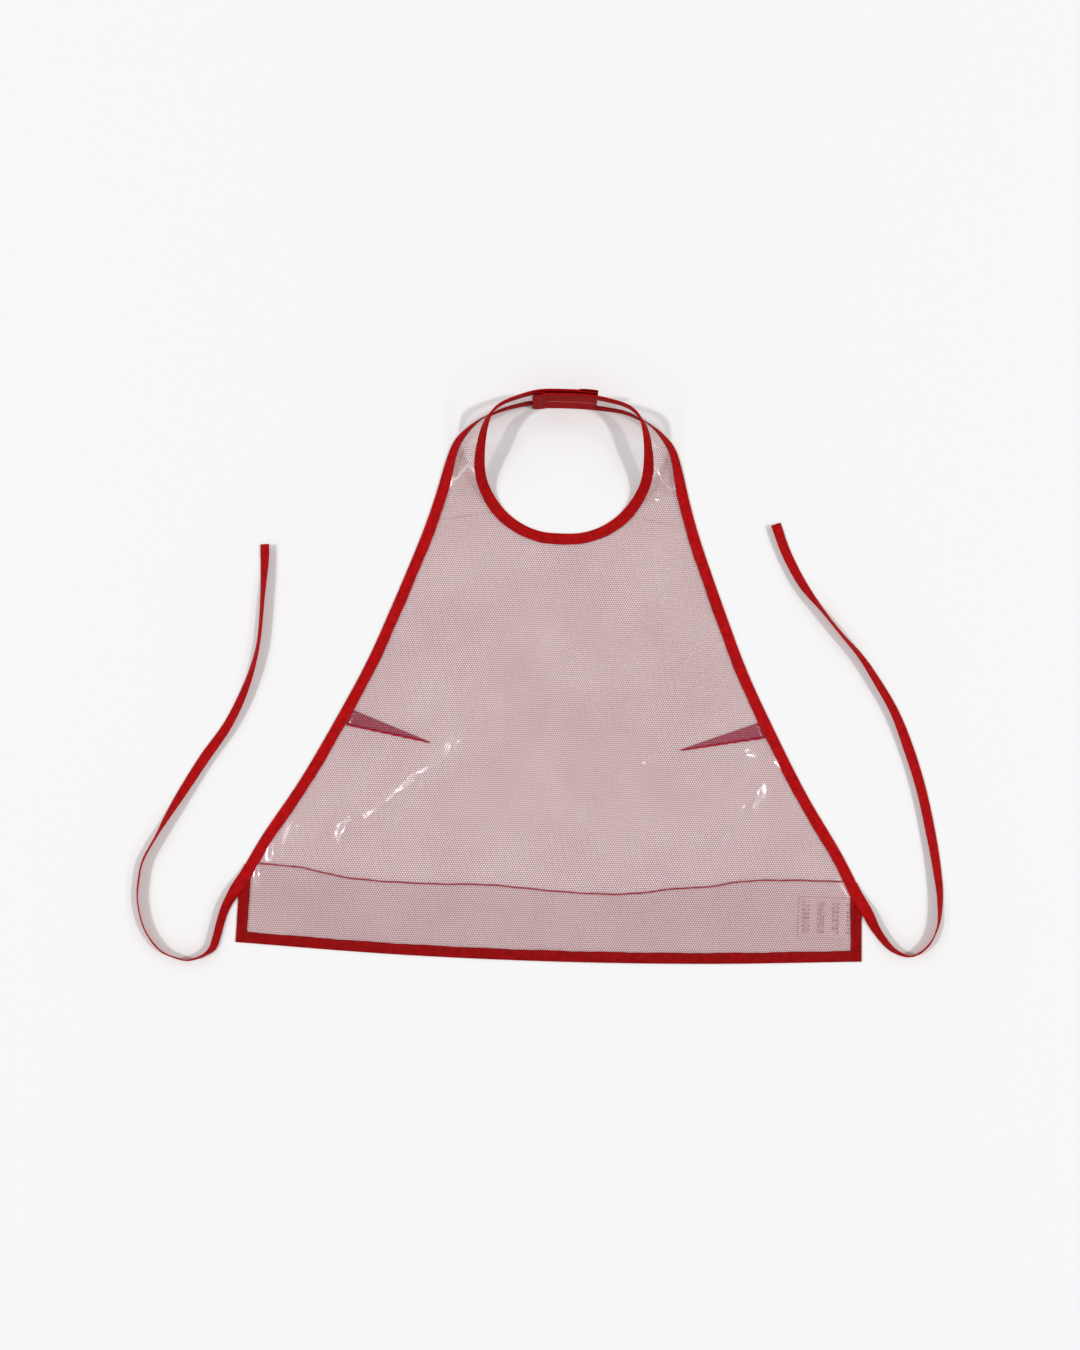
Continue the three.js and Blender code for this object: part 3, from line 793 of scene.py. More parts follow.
def filled(outline: Array, grain: float, margin: float) -> tuple[Array, list[list[int]]]:
    """Fills a flat outline with even triangles.

    Args:
        outline: The closed outline's points, in order.
        grain: The spacing of the points inside.
        margin: How far they keep from the outline.

    Returns:
        The plan points, outline first and in its order, and the triangles.
    """
    low, high = outline[:, :2].min(0), outline[:, :2].max(0)
    step = grain * math.sqrt(3) / 2
    rows = []
    for j, y in enumerate(np.arange(low[1], high[1], step)):
        x = np.arange(low[0] + (j % 2) * grain / 2, high[0], grain)
        rows.append(np.column_stack([x, np.full(len(x), y)]))
    grid = np.vstack(rows)
    grid = grid[inside(grid, outline)]
    rim = outline[:, :2]
    points = np.vstack([rim, grid[gaps_to(rim, grid) > margin]])
    count = len(rim)
    edges = [(k, (k + 1) % count) for k in range(count)]
    made = delaunay_2d_cdt([Vector(p) for p in points], edges, [list(range(count))], 1, 1e-5)
    return np.array([tuple(v) for v in made[0]]), [list(f) for f in made[2]]


# ---- Finishes ----


Colour = tuple[float, float, float]  # red, green and blue of 0 to 255


def linear(red: float, green: float, blue: float) -> tuple[float, float, float, float]:
    """A screen colour of 0 to 255 as a linear one."""
    def one(value: float) -> float:
        share = value / 255
        return share / 12.92 if share <= 0.04045 else ((share + 0.055) / 1.055) ** 2.4
    return one(red), one(green), one(blue), 1.0


class Wiring:
    """A material's nodes, wired step by step."""

    def __init__(self, name: str) -> None:
        """Makes an empty node material.

        Args:
            name: The material's name.
        """
        self.material = bpy.data.materials.new(name)
        self.material.use_nodes = True
        self.tree = self.material.node_tree
        self.tree.nodes.clear()
        self.out = self.add("ShaderNodeOutputMaterial")

    def add(self, kind: str, **settings: object) -> bpy.types.Node:
        """Adds one node with its settings."""
        node = self.tree.nodes.new(kind)
        for key, value in settings.items():
            setattr(node, key, value)
        return node

    def link(self, start: bpy.types.NodeSocket, end: bpy.types.NodeSocket) -> None:
        """Joins two sockets."""
        self.tree.links.new(start, end)

    def math(self, kind: str, a: object, b: object = 0.0, clamp: bool = False) -> bpy.types.NodeSocket:
        """A maths node on sockets or numbers."""
        node = self.add("ShaderNodeMath", operation=kind, use_clamp=clamp)
        for k, value in enumerate((a, b)):
            if isinstance(value, (int, float)):
                node.inputs[k].default_value = value
            else:
                self.link(value, node.inputs[k])
        return node.outputs[0]

    def cloth(self) -> tuple[bpy.types.NodeSocket, bpy.types.NodeSocket, bpy.types.NodeSocket]:
        """The cloth coordinates in millimetres: the vector, its first and its second value."""
        uv = self.add("ShaderNodeUVMap", uv_map=UV_CLOTH)
        scale = self.add("ShaderNodeVectorMath", operation="SCALE")
        scale.inputs[3].default_value = 1 / MM
        self.link(uv.outputs[0], scale.inputs[0])
        split = self.add("ShaderNodeSeparateXYZ")
        self.link(scale.outputs[0], split.inputs[0])
        return scale.outputs[0], split.outputs[0], split.outputs[1]

    def place(self) -> bpy.types.NodeSocket:
        """The place on the object, in metres."""
        return self.add("ShaderNodeTexCoord").outputs["Object"]

    def noise(self, at: bpy.types.NodeSocket, scale: float, detail: float = 2.0) -> bpy.types.NodeSocket:
        """Soft noise of 0 to 1."""
        node = self.add("ShaderNodeTexNoise")
        node.inputs["Scale"].default_value = scale
        node.inputs["Detail"].default_value = detail
        self.link(at, node.inputs["Vector"])
        return node.outputs[0]

    def span(self, value: bpy.types.NodeSocket, low: float, high: float, to_low: float = 0,
             to_high: float = 1) -> bpy.types.NodeSocket:
        """Maps a range of values to another one, held at its ends."""
        node = self.add("ShaderNodeMapRange", interpolation_type="SMOOTHSTEP")
        self.link(value, node.inputs[0])
        for k, number in enumerate((low, high, to_low, to_high)):
            node.inputs[k + 1].default_value = number
        return node.outputs[0]

    def mixed(self, share: bpy.types.NodeSocket, a: object, b: object) -> bpy.types.NodeSocket:
        """Two colours mixed by a share."""
        node = self.add("ShaderNodeMix", data_type="RGBA")
        self.link(share, node.inputs[0])
        for k, value in ((6, a), (7, b)):
            if isinstance(value, tuple):
                node.inputs[k].default_value = value
            else:
                self.link(value, node.inputs[k])
        return node.outputs[2]

    def bump(self, height: bpy.types.NodeSocket, strength: float, distance: float) -> bpy.types.NodeSocket:
        """A bump normal from a height."""
        node = self.add("ShaderNodeBump")
        node.inputs["Strength"].default_value = strength
        node.inputs["Distance"].default_value = distance
        self.link(height, node.inputs["Height"])
        return node.outputs[0]

    def glazed(self, body: bpy.types.NodeSocket, normal: bpy.types.NodeSocket, rough: float,
               least: float, grazing: float = 0.8) -> bpy.types.NodeSocket:
        """Lays a clear reflecting skin over a shader.

        Args:
            body: The shader below.
            normal: The skin's normal.
            rough: The skin's roughness.
            least: How much it reflects when it is seen face on.
            grazing: How much more it reflects at its edge.

        Returns:
            The glazed shader.
        """
        gloss = self.add("ShaderNodeBsdfGlossy")
        gloss.inputs["Roughness"].default_value = rough
        gloss.inputs["Color"].default_value = (1, 1, 1, 1)
        self.link(normal, gloss.inputs["Normal"])
        facing = self.add("ShaderNodeLayerWeight")
        facing.inputs["Blend"].default_value = 0.5
        edge = self.math("MULTIPLY", self.math("POWER", facing.outputs["Facing"], 4.0), grazing)
        share = self.math("ADD", edge, least)
        mix = self.add("ShaderNodeMixShader")
        self.link(share, mix.inputs[0])
        self.link(body, mix.inputs[1])
        self.link(gloss.outputs[0], mix.inputs[2])
        return mix.outputs[0]

    def finished(self, shader: bpy.types.NodeSocket) -> bpy.types.Material:
        """Joins the last shader to the output."""
        self.link(shader, self.out.inputs[0])
        return self.material


@dataclass(frozen=True)
class NetVinyl:
    """Clear vinyl with a fine knitted net inside it."""

    yarn: Colour = (194, 140, 142)
    gap: Colour = (246, 240, 240)
    pitch: float = 2.35
    yarn_share: float = 0.66
    gap_share: float = 0.08
    rough: float = 0.16
    least: float = 0.08
    grazing: float = 0.8

    def made(self, name: str = "net_vinyl_face") -> bpy.types.Material:
        """The material of the face with the net."""
        w = Wiring(name)
        at, x, y = w.cloth()
        bend = w.math("MULTIPLY", w.noise(at, 0.008, 1.0), 7.0)
        jitter = w.math("MULTIPLY", w.math("SUBTRACT", w.noise(at, 0.5, 1.0), 0.5), 0.7)
        sway = w.math("ADD", bend, jitter)
        waves = []
        for turn in (90, 30, 150):
            per = 2 * math.pi / self.pitch / math.cos(math.radians(30))
            a = w.math("MULTIPLY", x, per * math.cos(math.radians(turn)))
            b = w.math("MULTIPLY", y, per * math.sin(math.radians(turn)))
            pull = w.math("MULTIPLY", sway, math.sin(math.radians(turn)))
            waves.append(w.math("COSINE", w.math("ADD", w.math("ADD", a, b), pull)))
        lattice = w.math("ADD", w.math("ADD", waves[0], waves[1]), waves[2])
        yarn = w.span(lattice, 1.5, -0.4)
        patches = w.noise(at, 0.012, 4.0)
        broad = w.span(patches, 0.36, 0.64)
        r, g, b = self.yarn
        warm = w.mixed(broad, linear(r, g, b), linear(r - 8, g - 14, b - 12))
        tint = w.mixed(yarn, linear(*self.gap), warm)
        share = w.math("ADD", w.math("MULTIPLY", yarn, self.yarn_share - self.gap_share), self.gap_share)
        body = w.add("ShaderNodeBsdfPrincipled")
        w.link(tint, body.inputs["Base Color"])
        body.inputs["Roughness"].default_value = 0.55
        body.inputs["Specular IOR Level"].default_value = 0.2
        w.link(share, body.inputs["Alpha"])
        waver = w.math("MULTIPLY", w.noise(at, 0.11, 3.0), 3.0)
        height = w.math("ADD", w.math("MULTIPLY", yarn, 0.5), waver)
        w.link(w.bump(height, 0.22, 0.0006), body.inputs["Normal"])
        skin = w.bump(w.noise(at, 0.07, 2.0), 0.2, 0.0012)
        return w.finished(w.glazed(body.outputs[0], skin, self.rough, self.least, self.grazing))


@dataclass(frozen=True)
class ClearFilm:
    """Clear glossy film, faintly milky."""

    tint: Colour = (250, 196, 198)
    share: float = 0.12
    rough: float = 0.12
    shine: float = 0.012
    grazing: float = 0.2

    def made(self, name: str = "clear_film") -> bpy.types.Material:
        """The material."""
        w = Wiring(name)
        at = w.place()
        body = w.add("ShaderNodeBsdfPrincipled")
        body.inputs["Base Color"].default_value = linear(*self.tint)
        body.inputs["Roughness"].default_value = self.rough
        body.inputs["Alpha"].default_value = self.share
        soft = w.bump(w.noise(at, 60.0, 3.0), 0.3, 0.0012)
        w.link(soft, body.inputs["Normal"])
        return w.finished(w.glazed(body.outputs[0], soft, self.rough, self.shine, self.grazing))


@dataclass(frozen=True)
class WovenTape:
    """Woven polyester tape with a fine cross rib."""

    colour: Colour = (172, 18, 22)
    rib: float = 0.72

    def made(self, name: str) -> bpy.types.Material:
        """The material."""
        w = Wiring(name)
        at, along, across = w.cloth()
        per = 2 * math.pi / self.rib
        ribs = w.math("SINE", w.math("MULTIPLY", along, per))
        ends = w.math("SINE", w.math("MULTIPLY", across, per * 1.6))
        weave = w.math("MULTIPLY", ribs, w.math("ADD", w.math("MULTIPLY", ends, 0.35), 0.65))
        wear = w.noise(at, 0.16, 4.0)
        lean = w.math("ADD", w.math("MULTIPLY", weave, 0.16), w.span(wear, 0.3, 0.7, -0.3, 0.3))
        share = w.math("ADD", lean, 0.5, clamp=True)
        r, g, b = self.colour
        worn = linear(r * 0.86, g * 0.8, b * 0.82)
        bright = linear(min(r * 1.1, 255), g * 1.3, b * 1.25)
        shade = w.mixed(share, worn, bright)
        body = w.add("ShaderNodeBsdfPrincipled")
        w.link(shade, body.inputs["Base Color"])
        body.inputs["Roughness"].default_value = 0.62
        body.inputs["Specular IOR Level"].default_value = 0.03
        slub = w.math("MULTIPLY", w.noise(at, 0.35, 3.0), 2.0)
        height = w.math("ADD", w.math("MULTIPLY", weave, 0.5), slub)
        w.link(w.bump(height, 0.5, 0.00022), body.inputs["Normal"])
        return w.finished(body.outputs[0])


@dataclass(frozen=True)
class PlainCloth:
    """A plain finish for thread and pads."""

    colour: Colour
    rough: float = 0.75
    grain: float = 2500.0
    depth: float = 0.0002

    def made(self, name: str) -> bpy.types.Material:
        """The material."""
        w = Wiring(name)
        at = w.place()
        fuzz = w.noise(at, self.grain, 2.0)
        r, g, b = self.colour
        body = w.add("ShaderNodeBsdfPrincipled")
        shade = w.mixed(w.span(fuzz, 0.3, 0.7), linear(r * 0.86, g * 0.84, b * 0.84), linear(*self.colour))
        w.link(shade, body.inputs["Base Color"])
        body.inputs["Roughness"].default_value = self.rough
        body.inputs["Specular IOR Level"].default_value = 0.25
        w.link(w.bump(fuzz, 0.6, self.depth), body.inputs["Normal"])
        return w.finished(body.outputs[0])


@dataclass(frozen=True)
class LabelCloth:
    """White satin ribbon with rows of short plain dashes that stand for its printing, and a painted shadow
    along two of its edges.
    """

    ground: Colour = (236, 230, 230)
    ink: Colour = (26, 20, 24)
    row: float = 2.4
    dash: float = 1.5
    column: float = 15.0

    def made(self, name: str = "label_cloth") -> bpy.types.Material:
        """The material."""
        w = Wiring(name)
        _, x, y = w.cloth()
        cell = w.add("ShaderNodeCombineXYZ")
        w.link(w.math("FLOOR", w.math("DIVIDE", x, self.row)), cell.inputs[0])
        w.link(w.math("FLOOR", w.math("DIVIDE", y, self.dash)), cell.inputs[1])
        chance = w.add("ShaderNodeTexWhiteNoise", noise_dimensions="2D")
        w.link(cell.outputs[0], chance.inputs["Vector"])
        row = w.math("GREATER_THAN", w.math("FRACT", w.math("DIVIDE", x, self.row)), 0.32)
        word = w.math("GREATER_THAN", chance.outputs[0], 0.2)
        along = w.math("DIVIDE", w.math("SUBTRACT", x, 4.0), self.column)
        block = w.math("LESS_THAN", w.math("FRACT", along), 0.5)
        inner = w.math("MULTIPLY", w.math("GREATER_THAN", y, 5.0), w.math("LESS_THAN", y, 37.0))
        mark = w.math("MULTIPLY", w.math("MULTIPLY", row, word), w.math("MULTIPLY", block, inner))
        # painted shadow: a dark strip in the ink colour along two edges of the label
        painted_edge_shadow = w.math("ADD", w.math("LESS_THAN", x, 0.9), w.math("GREATER_THAN", y, 41.2), clamp=True)
        mark = w.math("MAXIMUM", mark, w.math("MULTIPLY", painted_edge_shadow, 0.7))
        shade = w.mixed(mark, linear(*self.ground), linear(*self.ink))
        body = w.add("ShaderNodeBsdfPrincipled")
        w.link(shade, body.inputs["Base Color"])
        body.inputs["Roughness"].default_value = 0.5
        return w.finished(body.outputs[0])


class Palette:
    """All the cape's finishes, made once."""

    def __init__(self) -> None:
        """Makes them."""
        self.net = NetVinyl().made()
        self.film = ClearFilm().made()
        self.back = ClearFilm(share=0.0, shine=0.0).made("clear_back")
        # The three tape finishes are one red tape in three tones, each matched to how bright the tape looks
        # at its place: their differences are painted light and shade, with the hem copy darkest.
        self.neck_tape = WovenTape((158, 12, 14)).made("tape_neck")
        self.side_tape = WovenTape((166, 12, 15)).made("tape_side")
        self.hem_tape = WovenTape((138, 11, 13)).made("tape_hem")
        self.thread = PlainCloth((150, 22, 28), 0.5).made("thread_red")
        # painted light: the wine thread's red is lifted to make up for the shade on so thin a thread
        self.wine = PlainCloth((172, 4, 38), 0.6).made("thread_wine")
        self.pale = PlainCloth((214, 150, 156), 0.5).made("thread_pale")
        self.band = NetVinyl(yarn_share=0.5, grazing=0.2).made("net_vinyl_band")
        self.pad = PlainCloth((140, 18, 22), 0.9, 1400.0, 0.0008).made("pad_red")
        self.folded = NetVinyl((140, 14, 48), (190, 60, 96), yarn_share=0.9, gap_share=0.5).made("net_folded")
        self.label = LabelCloth().made()


def paint(obj: bpy.types.Object, slot: str, *materials: bpy.types.Material) -> bpy.types.Object:
    """Gives a piece its materials.

    Args:
        obj: The piece.
        slot: Not used.
        materials: Its materials, in order.

    Returns:
        The same piece.
    """
    for material in materials:
        obj.data.materials.append(material)
    return obj


# ---- Sub-assemblies ----


def thinned(run: Array, corners: Sequence[int], distance: float) -> Array:
    """Drops a run's points that lie too near its corners for a tape to turn there.

    Args:
        run: The run.
        corners: Which points are corners. They stay.
        distance: How near is too near.

    Returns:
        The points left.
    """
    keep = np.ones(len(run), bool)
    for corner in corners:
        keep &= np.linalg.norm(run - run[corner], axis=1) > distance
    keep[list(corners)] = True
    return run[keep]


def moved_in(run: Array, distance: float, side: int = 1) -> Array:
    """A flat run moved to its left, or with side -1 to its right."""
    frames = flat_frames(run)
    return frames.at + side * distance * frames.across


class Pattern:
    """The curves that several pieces share, worked out once."""

    TURN_ROOM = 1.5  # a tape's leaves need this much more than their width to turn a corner

    def __init__(self, cut: Cut) -> None:
        """Works out the outline, the bands' edges and the frames along them.

        Args:
            cut: The cape's cut.
        """
        self.cut = cut
        self.lower, left_top, right_top = cut.lower_outline()
        middle = len(self.lower) // 2
        left, right = self.lower[left_top:middle], self.lower[middle : right_top + 1]
        hem_first = left_top + int(np.argmin(left[:, 0] + left[:, 1]))
        hem_last = middle + int(np.argmax(right[:, 0] - right[:, 1]))
        self.rim = thinned(self.lower, (hem_first, hem_last), cut.leaf + self.TURN_ROOM)
        self.left_top = left_top
        self.right_top = len(self.rim) - len(self.lower) + right_top
        self.frames = flat_frames(self.rim)
        self.front = cut.neckline()
        self.bands = {side: cut.band_edges(side) for side in Side}
        lost = len(self.lower) - len(self.rim)
        log.info("outline of %d points, %d left out at the corners", len(self.rim), lost)

    def leaf_end(self, side: Side, y: float) -> float:
        """Where a binding's inner leaf ends on the side outline, at a level."""
        rim = moved_in(self.rim, self.cut.leaf + self.cut.clear)
        rim = rim[rim[:, 0] * side.value > 0]
        for p, q in zip(rim, rim[1:]):
            if (p[1] - y) * (q[1] - y) <= 0 and p[1] != q[1]:
                return float(p[0] + (q[0] - p[0]) * (y - p[1]) / (q[1] - p[1]))
        raise ValueError("the level misses the side outline")

    def rise_frames(self, side: Side, neck: bool, first: int = 0, last: int = SEAM_STEP + 1) -> Frames:
        """Frames along one of a band's edges, with "through" upwards on the shoulder."""
        outer_edge, neck_edge = self.bands[side]
        if neck:
            frames = edge_frames(neck_edge, outer_edge, -side.value)
        else:
            frames = edge_frames(outer_edge, neck_edge, side.value)
        return frames.cut(first, last)

    def neck_frames(self) -> Frames:
        """The neckline's frames from the left seam round the front to the right seam."""
        front = flat_frames(self.front)
        front = Frames(front.at, -front.across, front.through).cut(1, -1)
        left = self.rise_frames(Side.LEFT, True).turned()
        return left.joined(front).joined(self.rise_frames(Side.RIGHT, True))

    def side_frames(self, side: Side) -> Frames:
        """A side's frames from the hem corner's top up to the seam."""
        if side is Side.RIGHT:
            flat = self.frames.cut(self.right_top)
        else:
            flat = self.frames.cut(0, self.left_top + 1).turned()
        return flat.cut(0, -1).joined(self.rise_frames(side, False))

    def hem_frames(self) -> Frames:
        """The frames from the left corner's top round the hem to the right corner's top."""
        return self.frames.cut(self.left_top, self.right_top + 1)

    def strip(self, side: Side, first: int, last: int | None, parts: int) -> Array:
        """The band's sheet as a grid of places, from the outer to the neck edge at each step.

        Args:
            side: Which band.
            first: The first step.
            last: The step after the last one, or None.
            parts: How many parts the width has.

        Returns:
            An array of steps by parts + 1 places.
        """
        outer_edge, neck_edge = self.bands[side]
        low = edge_frames(outer_edge, neck_edge, 1)
        high = edge_frames(neck_edge, outer_edge, 1)
        a = (low.at + low.across * self.cut.slot)[first:last]
        b = (high.at + high.across * self.cut.slot)[first:last]
        share = np.linspace(0, 1, parts + 1)[None, :, None]
        return a[:, None] * (1 - share) + b[:, None] * share


def level_frames(run: Array) -> Frames:
    """Frames along a run with "across" level and "through" straight up."""
    up = np.array([0.0, 0.0, 1.0])
    return Frames(run, unit(np.cross(up, tangents(run))), np.tile(up, (len(run), 1)))


def grid_faces(rows: int, columns: int, flipped: bool, start: int = 0) -> list[tuple[int, int, int, int]]:
    """The quads of a grid of places numbered row by row."""
    faces = []
    for r in range(rows - 1):
        for c in range(columns - 1):
            a = start + r * columns + c
            quad = (a, a + 1, a + columns + 1, a + columns)
            faces.append(quad[::-1] if flipped else quad)
    return faces


# How the pocket's top edge wanders: shares of the hem's half width, and of the rise towards its ends.
POCKET_WAVE = ((-0.8, 0.86), (-0.65, 0.4), (-0.4, 0.21), (-0.2, 0.25), (0.05, 0), (0.25, 0), (0.4, 0.36),
               (0.5, 0.5), (0.62, 0.86), (0.8, 1))


@dataclass
class BodyPieces:
    """What lies flat: the sheet, its bindings, the darts, the pocket and the label."""

    pattern: Pattern
    lie: Lie
    palette: Palette
    parts: int = 24  # across a shoulder's sheet
    grain: float = 2.6
    quick_grain: float = 7
    shoulder_fade: int = 8  # steps over which the sheet's swells fade out before the seam
    area: float = 0.213  # of the flat sheet, in square metres
    band_rise: float = 24  # how much longer the flat sheet is than the body, for the shoulders
    dart_length: float = 84
    dart_depth: float = 14
    dart_fall: float = 15
    dart_height: float = 231
    dart_lift: float = 0.2  # between the sheet and the pleat on it
    pleat_thick: float = 0.3
    pocket_height: float = 69
    pocket_sag: float = 19
    pocket_flat: tuple[float, float] = (0.603, 0.077)  # metres
    pocket_area: float = 0.0366
    film_thick: float = 0.3
    label_thick: float = 0.28

    def __post_init__(self) -> None:
        """Keeps the cut at hand."""
        self.cut = self.pattern.cut

    def build(self) -> None:
        """Makes every piece of the body."""
        self.sheet()
        self.bindings()
        for side in Side:
            self.dart(side)
        self.pocket()
        self.label()

    def ridden(self, obj: bpy.types.Object, *nodes: str) -> bpy.types.Object:
        """Fixes a piece to the cape's body and lets it stand for its CAD nodes."""
        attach(obj, "cape_body")
        if nodes:
            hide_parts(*nodes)
        return obj

    def sheet(self) -> None:
        """The body's sheet, in one piece with its shoulders up to the seams."""
        cut, pattern = self.cut, self.pattern
        rim = moved_in(pattern.lower, cut.slot)
        neck = moved_in(pattern.front, cut.slot, -1)[::-1]
        strips = {side: pattern.strip(side, 0, SEAM_STEP + 1, self.parts) for side in Side}
        rim[0], rim[-1] = strips[Side.LEFT][0, 0], strips[Side.RIGHT][0, 0]
        neck[0], neck[-1] = strips[Side.RIGHT][0, -1], strips[Side.LEFT][0, -1]
        outline = np.vstack([rim, strips[Side.RIGHT][0, 1:-1], neck, strips[Side.LEFT][0, 1:-1][::-1]])
        grain = self.grain
        plan, faces = filled(outline, grain, grain * 0.55)
        rise = self.lie.rise(plan)
        verts = [np.column_stack([plan, cut.mid + rise])]
        start = len(plan)
        for side in Side:
            grid = strips[side]
            steps = grid.shape[0]
            flat = grid.reshape(-1, 3).copy()
            fade = np.clip((SEAM_STEP - np.arange(steps)) / self.shoulder_fade, 0, 1)
            flat[:, 2] += self.lie.rise(flat) * np.repeat(fade, self.parts + 1)
            verts.append(flat)
            faces.extend(grid_faces(steps, self.parts + 1, side is Side.RIGHT, start))
            start += len(flat)
        points = np.vstack(verts)
        obj = make_object("body_panel", placed(points, cut), faces, points[:, :2] * MM)
        mesh = bmesh.new()
        mesh.from_mesh(obj.data)
        bmesh.ops.remove_doubles(mesh, verts=mesh.verts, dist=0.00002)
        bmesh.ops.recalc_face_normals(mesh, faces=mesh.faces)
        upwards = sum(f.normal.z * f.calc_area() for f in mesh.faces)
        if upwards < 0:
            bmesh.ops.reverse_faces(mesh, faces=mesh.faces)
        mesh.to_mesh(obj.data)
        mesh.free()
        log.info("body panel of %d faces, lying %.4f m2 upwards", len(obj.data.polygons), abs(upwards))
        paint(obj, "net_vinyl", self.palette.net, self.palette.back)
        thicken(obj, cut.sheet * MM, clear_back=True)
        self.ridden(obj, "body_sheet")
        flat = (2 * cut.hem_half * MM, (cut.length + self.band_rise) * MM)

    def bindings(self) -> None:
        """The folded tapes round the body, each with its row of stitches."""
        pattern, palette = self.pattern, self.palette
        runs = [
            ("neckline_tape", pattern.neck_frames(), "neck_binding", palette.neck_tape),
            ("hem_tape", pattern.hem_frames(), "hem_binding", palette.hem_tape),
        ]
        for side in Side:
            node = f"side_binding_{side.word}"
            runs.append((f"side_tape_{side.word}", pattern.side_frames(side), node, palette.side_tape))
        for name, frames, node, finish in runs:
            tape = swept(name, frames, folded_tape(self.cut.leaf, self.cut), self.cut)
            paint(tape, "binding_tape", finish)
            self.ridden(tape, node)
            row = edge_stitches(name, frames, self.cut)
            paint(row, "red_thread", self.palette.thread)
            self.ridden(row)

    def dart_line(self, side: Side) -> tuple[Array, Array, Array]:
        """A dart's root, the top of its fold at the binding, and its tip."""
        level = self.cut.hem_y + self.dart_height
        root = np.array([self.pattern.leaf_end(side, level), level, 0.0])
        top = np.array([self.pattern.leaf_end(side, level + self.dart_depth), level + self.dart_depth, 0.0])
        return root, top, np.array([root[0] - side.value * self.dart_length, level - self.dart_fall, 0.0])

    def dart(self, side: Side) -> None:
        """A dart's pleat, folded over on the sheet, and its stitches."""
        root, top, tip = self.dart_line(side)
        sides = ((root, top), (top, tip), (tip, root))
        outline = np.vstack([resampled(np.array(pair), 0, 0, 3)[:-1] for pair in sides])
        plan, faces = filled(outline, 4.0, 1.6)
        level = self.cut.mid + self.cut.sheet / 2 + self.dart_lift + self.lie.rise(plan)
        points = placed(np.column_stack([plan, level]), self.cut)
        fold = make_object(f"dart_pleat_{side.word}", points, faces, plan * MM)
        faces_up(fold)
        paint(fold, "net_vinyl", self.palette.folded, self.palette.back)
        thicken(fold, self.pleat_thick * MM, clear_back=True)
        self.ridden(fold, f"dart_fold_{side.word}")
        run = resampled(np.array([root, tip]), 0.5, 0, 1.5)
        drift = 0.25 * np.sin(np.arange(len(run)) * 0.9)
        run[:, 1] += drift - 0.7
        run[:, 2] = self.cut.mid + self.lie.rise(run) + self.cut.sheet / 2 + 0.34
        row = stitch_row(f"dart_seam_{side.word}", level_frames(run), 0, 0.1, self.cut, below=False)
        seam = thread(f"dart_ridge_{side.word}", run - (0, 0, 0.05), 0.85, self.cut)
        paint(row, "red_thread", self.palette.thread)
        paint(seam, "red_thread", self.palette.wine)
        self.ridden(row, f"dart_stitching_{side.word}")
        self.ridden(seam)

    def pocket_top(self, rise: float) -> Array:
        """The pocket's upper edge from left to right."""
        cut = self.cut
        middle = cut.hem_y + self.pocket_height
        top = middle + self.pocket_sag + rise
        ends = [(self.pattern.leaf_end(side, top), top) for side in Side]
        inner = [(share * cut.hem_half, middle + self.pocket_sag * lift + rise)
                 for share, lift in POCKET_WAVE]
        return smooth([(*p, 0) for p in (ends[0], *inner, ends[1])], 264)

    def pocket(self) -> None:
        """The clear pocket along the hem, with its overlocked upper edge."""
        cut = self.cut
        level = cut.hem_y + self.pocket_height + self.pocket_sag
        rim = moved_in(self.pattern.rim, cut.leaf + cut.clear)
        rim = rim[rim[:, 1] < level - 0.5]
        outline = np.vstack([rim, self.pocket_top(0)[::-1]])
        plan, faces = filled(outline, 4.2, 2.0)
        lift = cut.sheet / 2 + cut.clear + 0.15
        points = np.column_stack([plan, cut.mid + lift + self.lie.rise(plan)])
        film = make_object("pocket_panel", placed(points, cut), faces, plan * MM)
        faces_up(film)
        paint(film, "clear_film", self.palette.film, self.palette.back)
        thicken(film, self.film_thick * MM, clear_back=True)
        self.ridden(film, "pocket_film")
        line = resampled(self.pocket_top(cut.clear + 0.75), 0.5, 0.5, 1.05)
        turn = np.where(np.arange(len(line)) % 2 == 0, 1.0, -1.0)
        runs = run_lengths(line)
        line[:, 1] += 0.55 * turn + 0.25 * np.sin(runs / 5.3)
        line[:, 2] = cut.mid + self.lie.rise(line) + lift + 0.32 + 0.08 * turn
        overlock = thread("pocket_overlock", line, 0.55, cut, 5)
        paint(overlock, "red_thread", self.palette.wine)
        self.ridden(overlock, "pocket_overlock_edge")
        needle = resampled(self.pocket_top(cut.clear + 0.1), 0.5, 0.5, 2.0)
        needle[:, 2] = cut.mid + self.lie.rise(needle) + lift + 0.2
        row = stitch_row("pocket_needle_row", level_frames(needle), 0, 0.1, cut, below=False)
        paint(row, "red_thread", self.palette.wine)
        self.ridden(row)

    def label(self) -> None:
        """The care label, sewn in at the right side below the sheet."""
        low, high = (np.array(corner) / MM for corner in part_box("care_label"))
        columns, rows = 22, 18
        x, y = np.meshgrid(np.linspace(low[0], high[0], columns), np.linspace(low[1], high[1], rows))
        z = np.full(x.size, (low[2] + high[2]) / 2)
        points = np.column_stack([x.ravel(), y.ravel(), z])
        uvs = (points[:, :2] - low[:2]) * MM
        obj = make_object("sewn_label", points * MM, grid_faces(rows, columns, False), uvs)
        paint(obj, "label_cloth", self.palette.label)
        thicken(obj, self.label_thick * MM)
        self.ridden(obj, "care_label")


